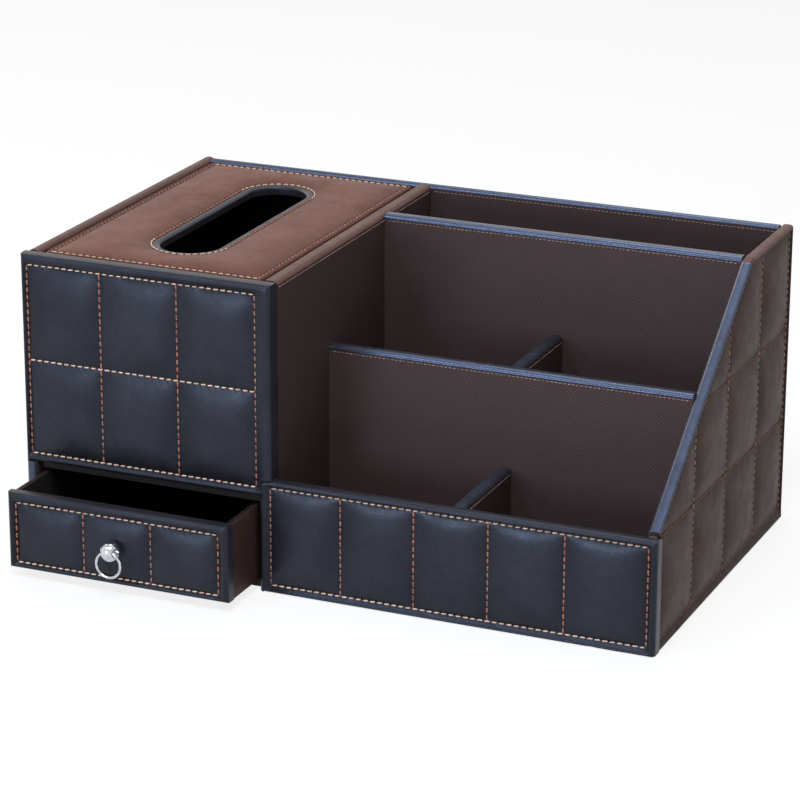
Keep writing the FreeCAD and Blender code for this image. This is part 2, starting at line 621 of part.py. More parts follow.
def pull_screw():
    """Screw from inside the drawer, through its front, into the ball."""
    seat = DRAWER_FRONT + DRAWER_LINING
    tip = BALL_MIDDLE + Y * SCREW_TIP
    shank = rod(SCREW / 2, tip, seat - tip.y, Y)
    head = rod(SCREW_HEAD / 2, Vector(tip.x, seat, tip.z), SCREW_HEAD_HEIGHT, Y)
    head = head.makeChamfer(SCREW_HEAD_HEIGHT / 2, [edge for edge in head.Edges
                                                    if edge.CenterOfMass.y > seat + SAME
                                                    and len(edge.Vertexes) == 1])
    return shank.fuse(head).removeSplitter()


def ring_passage():
    """Cross hole in the ball that flares both ways, clear of the ring as it swings."""
    reach = BALL / 2
    inner = WIRE_CIRCLE - WIRE / 2 - RING_PLAY

    def mouth(x):
        return WIRE_CIRCLE - math.sqrt(inner ** 2 - x ** 2)

    flare = (mouth(RING_MOUTH) - mouth(RING_THROAT)) / (RING_MOUTH - RING_THROAT)
    half = [(0, mouth(0)), (RING_THROAT, mouth(RING_THROAT)),
            (reach, mouth(RING_THROAT) + flare * (reach - RING_THROAT))]
    outline = [Vector(-x, 0, -radius) for x, radius in half[:0:-1]]
    outline += [Vector(x, 0, -radius) for x, radius in half]
    ends = [X * -reach, *outline, X * reach, X * -reach]
    passage = Part.Face(Part.makePolygon(ends)).revolve(Vector(), X, 360)
    passage.translate(RING_PIVOT)
    return passage


def turned_ball():
    """Ball turned about the neck's axis in narrow bands."""
    turns = [math.pi * step / BALL_BANDS for step in range(BALL_BANDS + 1)]
    profile = [BALL_MIDDLE + (X * math.sin(turn) - Y * math.cos(turn)) * BALL / 2 for turn in turns]
    return Part.Face(Part.makePolygon(profile + profile[:1])).revolve(BALL_MIDDLE, Y, 360)


def pull_ball():
    """Ball and neck, bored for the screw and cross-drilled for the ring."""
    ball = turned_ball()
    neck = rod(NECK / 2, BALL_MIDDLE, BALL_STANDOFF + QUILT_PAD, Y)
    screw = rod(SCREW / 2, BALL_MIDDLE + Y * SCREW_TIP, BALL_STANDOFF + QUILT_PAD, Y)
    return ball.fuse(neck).cut(screw).cut(ring_passage()).removeSplitter()


def pull_ring():
    """Ring hanging from its pivot in the ball, its wire's section a many-sided round."""
    middle = RING_PIVOT - Z * WIRE_CIRCLE
    turns = [2 * math.pi * (step + 0.5) / WIRE_SIDES for step in range(WIRE_SIDES)]
    section = [middle + X * (WIRE_CIRCLE + WIRE / 2 * math.cos(turn)) + Y * (WIRE / 2 * math.sin(turn))
               for turn in turns]
    return Part.Face(Part.makePolygon(section + section[:1])).revolve(middle, Y, 360)


# ---- write every piece --------------------------------------------------------------------

os.makedirs("parts", exist_ok=True)

case_pieces = {
    "base_felt": base_felt(), "base_board": base_board(), "left_wall_board": left_board(),
    "shared_wall_board": shared_board(), "right_wall_board": right_board(),
    "back_wall_board": back_board(), "tissue_front_board": tissue_front_board(),
    "low_front_board": low_front_board(), "shelf_board": shelf_board(),
    "left_cover": left_cover(), "right_cover": right_cover(), "back_cover": back_cover(),
    "tissue_front_cover": tissue_front_cover(), "low_front_cover": low_front_cover(),
    "shared_wall_wrap": shared_wrap(), "tissue_lining_left": tissue_lining_left(),
    "tissue_lining_front": tissue_lining_front(), "tissue_lining_back": tissue_lining_back(),
    "tissue_floor_lining": tissue_floor_lining(), "drawer_bay_lining": bay_lining(),
    "organiser_lining_front": organiser_lining_front(),
    "organiser_lining_back": organiser_lining_back(),
    "organiser_lining_right": organiser_lining_right(),
}
case_pieces.update(organiser_floors())
case_pieces.update(lid_ledges())
for divider, across, along, crest in dividers():
    case_pieces[f"{divider}_board"] = divider_board(across, along, ORGANISER_FLOOR, crest)
    case_pieces[f"{divider}_wrap"] = divider_wrap(across, along, ORGANISER_FLOOR, crest)
lid_pieces = {"lid_board": lid_board(), "lid_cover": lid_cover(), "lid_backing": lid_backing()}
drawer_pieces = {
    "drawer_front_board": drawer_front_board(), "drawer_front_cover": drawer_front_cover(),
    "drawer_left_side": drawer_side(DRAWER_SIDE_X[0], DRAWER_ROOM_X[0]),
    "drawer_right_side": drawer_side(DRAWER_SIDE_X[1], DRAWER_ROOM_X[1]),
    "drawer_back": drawer_back(), "drawer_bottom": drawer_bottom(),
    "drawer_lining": drawer_lining(), "pull_ball": pull_ball(), "pull_screw": pull_screw(),
    "pull_ring": pull_ring(),
}

for name, shape in {**case_pieces, **lid_pieces}.items():
    export(name, shape)
for name, shape in drawer_pieces.items():
    export(name, shape, DRAWER)
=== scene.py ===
import math

import bpy
import numpy as np
from mathutils import Matrix, Vector


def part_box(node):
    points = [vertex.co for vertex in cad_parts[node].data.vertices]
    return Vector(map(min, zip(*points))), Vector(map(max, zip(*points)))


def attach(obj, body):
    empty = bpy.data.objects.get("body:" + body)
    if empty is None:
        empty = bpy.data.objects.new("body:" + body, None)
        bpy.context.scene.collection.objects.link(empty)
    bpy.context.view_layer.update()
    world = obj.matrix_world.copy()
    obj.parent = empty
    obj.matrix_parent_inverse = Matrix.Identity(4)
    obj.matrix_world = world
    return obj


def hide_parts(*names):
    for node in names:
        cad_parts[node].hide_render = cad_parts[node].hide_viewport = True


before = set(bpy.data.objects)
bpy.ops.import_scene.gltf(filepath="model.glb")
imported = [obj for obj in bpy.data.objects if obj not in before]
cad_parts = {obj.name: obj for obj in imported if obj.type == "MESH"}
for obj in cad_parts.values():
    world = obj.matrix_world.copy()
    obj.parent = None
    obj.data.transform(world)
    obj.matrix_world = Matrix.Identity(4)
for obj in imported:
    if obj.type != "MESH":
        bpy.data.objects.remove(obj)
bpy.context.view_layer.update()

# A tissue box with a drawer, and an open organiser beside it, in padded leather over board.
#
# Places are given in millimetres from the left end (x), the front face (y) and the table (z),
# and at() turns them into metres in the frame. Every finished piece keeps its place in its mesh.

MM = 0.001
WIDTH, DEPTH, HEIGHT = 360.0, 220.0, 170.0
MIDDLE = np.array([WIDTH / 2, DEPTH / 2, 0.0])
TOUCH = 0.01  # how nearly points lie on a plane or an outline
LONG = 10.0  # edges longer than this run along a wall

# leather and padding
ROLL = 2.8  # rounding of the rolled edges
FOOT_ROLL = 1.0
COVER_FOOT = 0.5
RIM = 2.0  # leather over a board's top edge
RIM_SHOWN = 1.6  # how far a rim's glossier leather, a painted highlight, reaches below its top
CORNER_STRIP = 4.0  # and round the left end's front corner
HIDDEN = 3.0  # how far a cover's hidden inner face lies inside its board
SEAM_DEPTH = 2.2  # seams below the face
THIN_SEAM_DEPTH = 1.1  # seams of the left end, whose padding is thinner
LID_SEAM_DEPTH = 1.5
PROUD = 0.7  # how far the padding swells past the face
GRID = 4.0  # spacing of a pad's mesh before it is subdivided
BORDER_SOFTNESS = 1.3  # how quickly the border rises from its seam
CLOSE = 0.2  # points of a pad's mesh nearer than this become one
HELD = 0.3  # points nearer their seam than this don't swell
PRESSURE, SETTLING = 4, 20  # of the padding, and the frames that it takes
DRIFT = 0.4  # most that a point of the padding moves along its face
HOLES = (0.15, 0.3)  # sinking of the leather along a seam, and more at each stitch hole
LID_HOLES = (0.22, 0.38)
HOLE_REACH = 0.95
CREASE_SHADE_REACH, SLOPE_SHADE_REACH = 1.7, 9.0  # reach of the painted shade beside a seam, and of the painted shade down the pad's slope to it

# stitches
PITCH = 4.0
STITCH = (3.15, 0.98, 0.8)  # length, width and height
SLANT = math.radians(4)  # of each stitch across its row
THREAD_RISE = 0.2  # thread's middle above the bottom of its seam
FINE_STITCH = 0.6  # tonal thread in the lining, as a share of the outer thread
FINE_PITCH = 2.4
FINE_RISE = 0.05  # tonal thread's middle above the lining
RIM_EDGE = 2.5  # edge of the leather strip below the rims' tops
RIM_CREASE = 0.3  # depth of the crease along that edge
RIM_SEAM = 3.5  # tonal stitches below the rims' tops
SEAM_MARGIN = 2.0  # of the tonal stitches from the ends of a wall

# case
TISSUE_FOOT = 53.5  # bottom of the tissue box's front
SHARED_X = (138.0, 146.5)  # wall between the tissues and the organiser
LOW_FRONT_TOP = 63.0
LOW_FRONT_Y = 8.0
TISSUE_FRONT_Y = 10.0
JUNCTION_X = 141.5  # where the low front's rolled end meets the tissue front
LOW_CORNER = 7.0
LEFT_WALL = 7.0
RIGHT_X = 352.0
BACK_Y = 214.5
ORGANISER_FLOOR = 5.5
SLOPE_FOOT = (5.0, 63.0)  # y and z
SLOPE_HEAD = (148.5, 170.0)
SLOPE_HEAD_ROUND = 10.0
SLOPE_SEAM = 2.6  # seam below the slope's edge
SLOPE = math.atan2(SLOPE_HEAD[1] - SLOPE_FOOT[1], SLOPE_HEAD[0] - SLOPE_FOOT[0])
DIVIDERS = {
    "front_divider": ((146.5, 352.0), (74.0, 82.0), 116.54),
    "rear_divider": ((146.5, 352.0), (148.5, 156.5), 170.0),
    "front_cross": ((244.5, 252.5), (8.0, 74.0), 62.0),
    "rear_cross": ((244.5, 252.5), (82.0, 148.5), 113.54),
}

# quilting, as the places of its seams
TISSUE_COLUMNS = (3.3, 46.6, 91.9, 137.2)
TISSUE_ROWS = (58.2, 110.9, 164.0)
LOW_COLUMNS = (145.2, 185.4, 226.8, 268.2, 310.1, 355.0)
LOW_ROWS = (4.2, 58.8)
SIDE_COLUMNS = (9.6, 62.5, 115.0, 168.0, 216.6)
SIDE_ROWS = ((5.5, 5.5), (62.0, 58.0), (114.0, 111.0), (166.5, 166.5))  # front and back ends
LEFT_COLUMNS = (12.6, 62.5, 115.0, 168.0, 216.6)
DRAWER_COLUMNS = (12.0, 52.3, 92.1, 131.5)
DRAWER_ROWS = (8.9, 42.7)
BACK_COLUMNS = (11.0, 348.0)
BACK_ROWS = (5.5, 166.0)
BACK_DEPTH = 0.4  # of the seams in the back's thin leather
BACK_ROLL = 2.6
BACK_HIDDEN = 2.0

# lid
LID_X = (8.4, 136.6)
LID_Y = (11.4, 213.1)
LID_FOOT = 164.0
LID_SEAM = 3.0  # border seam in from the lid's edge
SLOT_MIDDLE = (72.5, 112.25)
SLOT_RADIUS = 17.0
SLOT_HALF = 53.0  # from the slot's middle to the centres of its round ends
SLOT_SEAM = 4.75  # seam out from the slot's edge
LIP_EDGE = 1.2  # edge of the lip's dark leather in from that seam
LID_RISE = 1.6  # of the lid's plain edge below its roll
LID_STEPS = 11  # rings of the mesh from the border seam to the slot's
LID_SIDE, LID_END = 26, 16  # points from the middle of a long and of a short side to a corner

# drawer, as it stands out of its bay
DRAWER_X = (7.5, 137.5)
DRAWER_Z = (5.5, 48.5)
DRAWER_FRONT = 8.0
DRAWER_FACE = -35.0
BOARD_ROLL = 1.2

# ring pull
BALL, NECK = 11.0, 5.0
BALL_STANDOFF = 6.0
BALL_MIDDLE = (72.5, -41.0, 27.0)
RING_PIVOT = (72.5, -43.6, 27.5)
RING_CIRCLE = 7.05  # radius of the wire's middle
WIRE = 1.5
RING_PLAY = 0.3
RING_BACK = 1.9  # how far back of its pivot the ring swings inside the ball


def at(x, y, z):
    """Place in metres in the frame."""
    return Vector((x - WIDTH / 2, y - DEPTH / 2, z)) * MM


def in_mm(place):
    """Millimetres from the left end, the front face and the table."""
    return Vector((place.x / MM + WIDTH / 2, place.y / MM + DEPTH / 2, place.z / MM))


def slope_top(y):
    """Height of the right wall's top line."""
    return min(HEIGHT, SLOPE_FOOT[1] + (y - SLOPE_FOOT[0]) * math.tan(SLOPE))


# ---- shaping tools ----

def only(piece):
    """One piece selected and active."""
    bpy.ops.object.select_all(action="DESELECT")
    piece.select_set(True)
    bpy.context.view_layer.objects.active = piece


def primitive(name, add, **settings):
    """A primitive that is alone selected."""
    bpy.ops.object.select_all(action="DESELECT")
    add(**settings)
    piece = bpy.context.object
    piece.name = piece.data.name = name
    return piece


def block(name, x, y, z):
    """Cube primitive at its size and place."""
    low, high = at(x[0], y[0], z[0]), at(x[1], y[1], z[1])
    piece = primitive(name, bpy.ops.mesh.primitive_cube_add, size=1, location=(low + high) / 2)
    piece.scale = high - low
    bpy.ops.object.transform_apply(location=True, rotation=True, scale=True)
    return piece


def pick(piece, kind, test):
    """Edit mode with the faces or edges that pass a test selected."""
    only(piece)
    mesh = piece.data
    bpy.context.tool_settings.mesh_select_mode = (False, kind == "EDGE", kind == "FACE")
    for items in (mesh.vertices, mesh.edges, mesh.polygons):
        items.foreach_set("select", [False] * len(items))
    if kind == "FACE":
        for face in mesh.polygons:
            face.select = test(in_mm(face.center), face.normal)
    else:
        places = [in_mm(point.co) for point in mesh.vertices]
        for edge in mesh.edges:
            edge.select = test(*(places[i] for i in edge.vertices))
    bpy.ops.object.mode_set(mode="EDIT")


def leave():
    bpy.ops.object.mode_set(mode="OBJECT")


def pull(piece, test, by):
    """Extrudes faces by a distance along each axis."""
    pick(piece, "FACE", test)
    bpy.ops.mesh.extrude_region_move(TRANSFORM_OT_translate={"value": Vector(by) * MM})
    leave()


def roll(piece, test, radius, segments=5):
    """Rounds the edges that pass a test."""
    pick(piece, "EDGE", test)
    bpy.ops.mesh.bevel(offset=radius * MM, offset_type="OFFSET", segments=segments, profile=0.5,
                       affect="EDGES", clamp_overlap=False)
    leave()


def edit(piece, action="SELECT"):
    """Edit mode with everything selected, or nothing."""
    only(piece)
    bpy.ops.object.mode_set(mode="EDIT")
    bpy.ops.mesh.select_all(action=action)


def cut(piece, planes, clear_outer=False):
    """Cuts across the whole piece, each plane given by a place and a normal."""
    edit(piece)
    for place, normal in planes:
        bpy.ops.mesh.select_all(action="SELECT")
        bpy.ops.mesh.bisect(plane_co=place, plane_no=normal, clear_outer=clear_outer,
                            use_fill=clear_outer, threshold=1e-6)
    leave()


def merge(piece, distance):
    """Joins points that lie closer than a distance."""
    edit(piece)
    bpy.ops.mesh.remove_doubles(threshold=distance * MM)
    leave()


def slice_at(axis, value):
    """Plane for cut(), square to an axis."""
    return at(*[value if i == axis else 0.0 for i in range(3)]), [float(i == axis) for i in range(3)]


def level(a, b, **planes):
    """An edge that lies on each plane given by its axis."""
    return all(abs(end["xyz".index(axis)] - value) < TOUCH
               for axis, value in planes.items() for end in (a, b))


def between(limits, spacing=GRID):
    """Places from the first limit to the last through all of them, at about a spacing."""
    found = []
    for low, high in zip(limits, limits[1:]):
        low, high = np.atleast_1d(low), np.atleast_1d(high)
        count = max(1, round(float(np.max(high - low)) / spacing))
        found += [low + (high - low) * step / count for step in range(count)]
    return found + [np.atleast_1d(limits[-1])]


def read(items, key):
    """A vector of every point or face, as rows."""
    values = np.empty(len(items) * 3)
    items.foreach_get(key, values)
    return values.reshape(-1, 3)


def points_of(piece):
    """Points of a piece in millimetres."""
    return read(piece.data.vertices, "co") / MM + MIDDLE


def move_points(piece, places):
    piece.data.vertices.foreach_set("co", ((places - MIDDLE) * MM).ravel())
    piece.data.update()


def subdivide(piece, levels):
    """Subdivision surface with the sharp edges kept."""
    bpy.context.tool_settings.mesh_select_mode = (False, True, False)
    edit(piece, "DESELECT")
    bpy.ops.mesh.edges_select_sharp(sharpness=math.radians(50))
    bpy.ops.transform.edge_crease(value=1)
    leave()
    surface = piece.modifiers.new("surface", "SUBSURF")
    surface.levels = surface.render_levels = levels
    bpy.ops.object.modifier_apply(modifier=surface.name)


def smooth(piece, degrees=50):
    only(piece)
    bpy.ops.object.shade_smooth_by_angle(angle=math.radians(degrees))


def dress(piece, body, slot, *materials):
    """Body and materials of a finished piece; its slot is not used."""
    for material in materials:
        piece.data.materials.append(material)
    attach(piece, body)


# ---- seams and padding ----

def nearest_seam(points, seams):
    """Distance of each point from its nearest seam, and how far along that seam's stitch."""
    best = np.full(len(points), 1e6)
    phase = np.zeros(len(points))
    for seam in seams:
        count, whole, before = stitch_count(seam), sum(lengths_of(seam)), 0.0
        for a, b in zip(seam, seam[1:]):
            a, b = np.array(a), np.array(b)
            length = float(np.linalg.norm(b - a))
            along = np.clip((points - a) @ (b - a) / length ** 2, 0, 1)
            away = np.linalg.norm(points - a - along[:, None] * (b - a), axis=1)
            nearer = away < best
            best[nearer] = away[nearer]
            phase[nearer] = ((before + along[nearer] * length) / whole * count) % 1.0
            before += length
    return best, phase


def lengths_of(seam):
    return [math.dist(a, b) for a, b in zip(seam, seam[1:])]


def stitch_count(seam, pitch=PITCH):
    return max(1, round(sum(lengths_of(seam)) / pitch))


def outside(points, outline):
    """Distance of each point outside a convex outline given anticlockwise, none inside."""
    away = np.zeros(len(points))
    for a, b in zip(outline, outline[1:] + outline[:1]):
        a, b = np.array(a), np.array(b)
        normal = np.array([b[1] - a[1], a[0] - b[0]]) / np.linalg.norm(b - a)
        away = np.maximum(away, (points - a) @ normal)
    return away


def swell(piece, free, outward, crown):
    """Padding swollen between its seams by cloth pressure, kept within a crown."""
    start = points_of(piece)
    scene = bpy.context.scene
    scene.frame_set(1)
    held = piece.vertex_groups.new(name="held")
    held.add([int(i) for i in np.flatnonzero(~free)], 1.0, "REPLACE")
    only(piece)
    cloth = piece.modifiers.new("padding", "CLOTH")
    settings = cloth.settings
    settings.quality = 4
    settings.vertex_group_mass = held.name
    settings.use_pressure = True
    settings.uniform_pressure_force = PRESSURE
    settings.effector_weights.gravity = 0
    for number in range(SETTLING):
        scene.frame_set(1 + number)
    bpy.ops.object.modifier_apply(modifier=cloth.name)
    scene.frame_set(1)
    piece.vertex_groups.clear()
    moved = points_of(piece) - start
    rise = moved @ outward
    side = moved - rise[:, None] * outward
    top = max(float(rise.max()), 1e-3)
    rise = crown * np.tanh(rise / top) / math.tanh(1)
    return start + np.clip(side, -DRIFT, DRIFT) + rise[:, None] * outward


def quilt(piece, plane, outward, outline, seams, depth=SEAM_DEPTH, levels=2, holes=HOLES,
          slot=None):
    """Sinks the seams of a padded face, swells what lies between, draws the stitch holes in, and marks
    painted shade beside the seams and down the pads' slopes.

    plane gives the two axes that the face lies along, outward its direction. slot tells how far
    points lie outside the seam round a slot, whose rolled lip sinks without swelling.
    """
    if not slot:
        merge(piece, CLOSE)
    outward = np.array(outward, float)
    places = points_of(piece)
    face = float((places @ outward).max())

    def on_face(places):
        return (places @ outward) > face - ROLL - TOUCH

    flat = places[:, plane]
    away = outside(flat, outline)
    near, _ = nearest_seam(flat, seams)
    lip = slot(flat) < 0 if slot else np.zeros(len(flat), bool)
    border = np.exp(-(away / BORDER_SOFTNESS) ** 2)
    border[lip] = ((places @ outward - face + ROLL) / ROLL)[lip]
    front = on_face(places)
    places[front] -= (depth * border)[front, None] * outward
    free = front & ~lip & (away < TOUCH) & (near > HELD)
    crown = depth + PROUD
    move_points(piece, places)
    places = swell(piece, free, outward, crown)
    move_points(piece, places)
    subdivide(piece, levels)
    places = points_of(piece)
    near, phase = nearest_seam(places[:, plane], seams)
    sink = (holes[0] + holes[1] * np.cos(math.pi * phase) ** 2) * np.exp(-(near / HOLE_REACH) ** 2)
    places -= (sink * on_face(places))[:, None] * outward
    move_points(piece, places)
    # Painted shade: marks that darken the leather in the crease beside each seam and down each pad's
    # slope to it.
    for name, reach in (("crease_and_shade", CREASE_SHADE_REACH), ("slope_shade", SLOPE_SHADE_REACH)):
        mark = piece.data.attributes.new(name, "FLOAT", "POINT")
        mark.data.foreach_set("value", np.exp(-(near / reach) ** 2) * on_face(places))
    smooth(piece)


def quilt_panel(slab, columns, rows, plane, outward, depth=SEAM_DEPTH, levels=2):
    """Rectangular quilt; gives its level seams and its upright ones."""
    across, upward, outline = grid_seams(columns, rows)
    quilt(slab, plane, outward, outline, across + upward, depth, levels)
    return across, upward


def dress_side(piece):
    """Matt leather; its upward-facing edges and the left end's front strip take the glossier, bluer rim
    leather as a painted highlight, and the ends' level tops the brown wall rim leather, partly painted
    warm reflection.
    """
    dress(piece, "case", "outer_leather", SIDE, RIM_HIGHLIGHT_LEATHER, WALL_RIM_AND_WARM_REFLECTION)
    for face in piece.data.polygons:
        place = in_mm(face.center)
        crest = slope_top(place.y) if place.x > RIGHT_X - 1 else HEIGHT
        top_edge = face.normal.z > 0.25 and place.z > crest - RIM_SHOWN
        front_edge = face.normal.y < -0.5 and place.x < LEFT_WALL and place.y < CORNER_STRIP
        at_end = place.x < LEFT_WALL or place.x > RIGHT_X
        # Faces are picked by which way they face, for the painted highlight and painted warm
        # reflection.
        if front_edge or top_edge:
            face.material_index = 2 if at_end and place.z > HEIGHT - RIM_SHOWN else 1


# ---- stitches ----

def one_stitch():
    """Short rounded length of thread whose ends dip into the leather."""
    stitch = primitive("stitch", bpy.ops.mesh.primitive_uv_sphere_add, segments=8, ring_count=6,
                       radius=0.5)
    stitch.rotation_euler = (0, math.pi / 2, 0)
    bpy.ops.object.transform_apply(location=False, rotation=True, scale=False)
    for point in stitch.data.vertices:
        x, y, z = point.co
        full = math.copysign(abs(2 * x) ** 0.7, x) / 2
        point.co = (full * STITCH[0], y * STITCH[1], (z - 0.45 * (2 * x) ** 4) * STITCH[2])
    return stitch


def sew(name, place, seams, thread, body, size=1.0, sink=SEAM_DEPTH - THREAD_RISE, pitch=PITCH):
    """Row of stitches along each seam, joined as one piece.

    place(u, v, depth) gives a place in metres on the face that is sewn.
    """
    pattern = one_stitch()
    made = []
    for seam in seams:
        lengths, count = lengths_of(seam), stitch_count(seam, pitch)
        for number in range(count):
            target = (number + 0.5) / count * sum(lengths)
            for (a, b), length in zip(zip(seam, seam[1:]), lengths):
                if target <= length:
                    break
                target -= length
            share = target / length
            u, v = (a[0] + (b[0] - a[0]) * share, a[1] + (b[1] - a[1]) * share)
            middle = place(u, v, sink)
            along = (place(*b, sink) - place(*a, sink)).normalized()
            up = (place(u, v, sink - 1) - middle).normalized()
            turn = Matrix((along, up.cross(along), up)).transposed().to_4x4()
            copy = bpy.data.objects.new(name, pattern.data.copy())
            copy.data.transform(Matrix.Translation(middle) @ turn @ Matrix.Rotation(SLANT, 4, "Z")
                                @ Matrix.Scale(MM * size, 4))
            bpy.context.collection.objects.link(copy)
            made.append(copy)
    bpy.data.objects.remove(pattern)
    bpy.ops.object.select_all(action="DESELECT")
    for copy in made:
        copy.select_set(True)
    bpy.context.view_layer.objects.active = made[0]
    bpy.ops.object.join()
    row = bpy.context.object
    row.name = row.data.name = name
    row.data.shade_smooth()
    dress(row, body, None, thread)


def sew_quilt(name, place, across, upward, threads, body="case", sink=SEAM_DEPTH - THREAD_RISE):
    """Stitches of a quilt, its rows and its columns in two copies of one thread that differ by painted
    light and shade.
    """
    sew(name + "_rows", place, across, threads[0], body, sink=sink)
    sew(name + "_columns", place, upward, threads[1], body, sink=sink)


def grid_seams(columns, rows):
    """Level seams and upright ones of a rectangular quilt, and its outline, anticlockwise."""
    across = [[(columns[0], row), (columns[-1], row)] for row in rows]
    upward = [[(column, low), (column, high)] for column in columns
              for low, high in zip(rows, rows[1:])]
    return across, upward, across[0] + across[-1][::-1]


def slot_seams():
    """Seams round the two ends of the slot, and along its two sides."""
    radius = SLOT_RADIUS + SLOT_SEAM
    x, y = SLOT_MIDDLE
    turn = [math.pi * step / 24 for step in range(25)]
    far = [(x + radius * math.cos(a), y + SLOT_HALF + radius * math.sin(a)) for a in turn]
    near = [(x - radius * math.cos(a), y - SLOT_HALF - radius * math.sin(a)) for a in turn]
    return [far, near], [[far[-1], near[0]], [near[-1], far[0]]]


# ---- materials ----

class Nodes:
    """Shader nodes and links under construction."""

    def __init__(self, tree):
        self.tree = tree

    def node(self, kind, **settings):
        node = self.tree.nodes.new(kind)
        for key, value in settings.items():
            setattr(node, key, value)
        return node

    def put(self, socket, value):
        """Links a socket to another, or sets its value."""
        if isinstance(value, bpy.types.NodeSocket):
            self.tree.links.new(value, socket)
        else:
            socket.default_value = value

    def maths(self, operation, a, b=0.0):
        node = self.node("ShaderNodeMath", operation=operation)
        self.put(node.inputs[0], a)
        self.put(node.inputs[1], b)
        return node.outputs[0]

    def seen(self):
        """One on rays from the camera, straight or by mirror or glass."""
        rays = self.node("ShaderNodeLightPath").outputs
        seen = self.maths("MAXIMUM", rays["Is Camera Ray"], rays["Is Glossy Ray"])
        return self.maths("MAXIMUM", seen, rays["Is Transmission Ray"])

    def mix(self, share, a, b, ending):
        """Blends two shaders into the tree's last node."""
        node = self.node("ShaderNodeMixShader")
        for socket, value in zip(node.inputs, (share, a, b)):
            self.put(socket, value)
        self.put(self.tree.nodes[ending].inputs[0], node.outputs[0])


class Finish(Nodes):
    """Material under construction."""

    def __init__(self, name):
        self.material = bpy.data.materials.new(name)
        self.material.use_nodes = True
        super().__init__(self.material.node_tree)
        self.shader = self.tree.nodes["Principled BSDF"]
        self.place = self.node("ShaderNodeTexCoord").outputs["Object"]

    def noise(self, scale, detail=3.0, stretch=None):
        place = self.place
        if stretch:
            mapping = self.node("ShaderNodeMapping")
            self.put(mapping.inputs["Scale"], stretch)
            self.put(mapping.inputs["Vector"], place)
            place = mapping.outputs[0]
        node = self.node("ShaderNodeTexNoise")
        for key, value in (("Vector", place), ("Scale", scale), ("Detail", detail)):
            self.put(node.inputs[key], value)
        return node.outputs["Fac"]

    def cells(self, scale):
        node = self.node("ShaderNodeTexVoronoi")
        self.put(node.inputs["Vector"], self.place)
        self.put(node.inputs["Scale"], scale)
        return node.outputs["Distance"]

    def attribute(self, name):
        return self.node("ShaderNodeAttribute", attribute_name=name).outputs["Fac"]

    def blend(self, share, a, b):
        node = self.node("ShaderNodeMix", data_type="RGBA")
        for number, value in ((0, share), (6, a), (7, b)):
            self.put(node.inputs[number], value)
        return node.outputs[2]

    def ramp(self, value, low, high, to_low=0.0, to_high=1.0):
        node = self.node("ShaderNodeMapRange")
        for socket, number in zip(node.inputs, (value, low, high, to_low, to_high)):
            self.put(socket, number)
        return node.outputs[0]

    def bump(self, height, distance, strength, over=None):
        node = self.node("ShaderNodeBump")
        for key, value in (("Height", height), ("Distance", distance), ("Strength", strength)):
            self.put(node.inputs[key], value)
        if over:
            self.put(node.inputs["Normal"], over)
        return node.outputs[0]

    def shade(self, **inputs):
        for key, value in inputs.items():
            self.put(self.shader.inputs[key.replace("_", " ")], value)
        return self.material


GRAIN = 0.00006  # height of the leather's grain in metres, and of the twill's ribs
TWILL_PITCH = 1.5  # spacing of the twill's ribs in millimetres


def rgb(code):
    """Linear colour of an sRGB hex code."""
    parts = [int(code[i:i + 2], 16) / 255 for i in (0, 2, 4)]
    return (*[((c + 0.055) / 1.055) ** 2.4 if c > 0.04045 else c / 12.92 for c in parts], 1.0)


def leather(name, colour, deep, pale, painted_reflection_tint, roughness, gloss):
    """Pebbled leather: cloudy colour, painted shade beside its seams and down its pads' slopes, a fine
    grain, polish that varies, and a painted reflection tint.
    """
    f = Finish(name)
    cloud = f.ramp(f.noise(38.0, 4.0), 0.35, 0.65)
    fleck = f.ramp(f.noise(420.0, 2.0), 0.3, 0.7)
    tone = f.blend(f.maths("MULTIPLY", cloud, 0.7), rgb(colour), rgb(pale))
    # Random flecks, then painted shade down the pads' slopes and in the creases beside the seams.
    for share, most in ((fleck, 0.25), (f.attribute("slope_shade"), 0.35), (f.attribute("crease_and_shade"), 0.55)):
        tone = f.blend(f.maths("MULTIPLY", share, most), tone, rgb(deep))
    pebble = f.cells(1250.0)
    pores = f.noise(2600.0, 2.0)
    height = f.maths("ADD", f.maths("MULTIPLY", pebble, 0.7), f.maths("MULTIPLY", pores, 0.3))
    slack = f.noise(70.0, 3.0, (1.0, 1.0, 0.55))
    normal = f.bump(height, GRAIN, 0.8, f.bump(slack, 0.0006, 0.35))
    polish = f.ramp(f.noise(120.0, 4.0), 0.3, 0.7, roughness - 0.05, roughness + 0.07)
    # The specular tint is a painted reflection colour that stands in for the colour of the light.
    return f.shade(Base_Color=tone, Roughness=polish, Normal=normal, Specular_IOR_Level=gloss,
                   Specular_Tint=rgb(painted_reflection_tint))


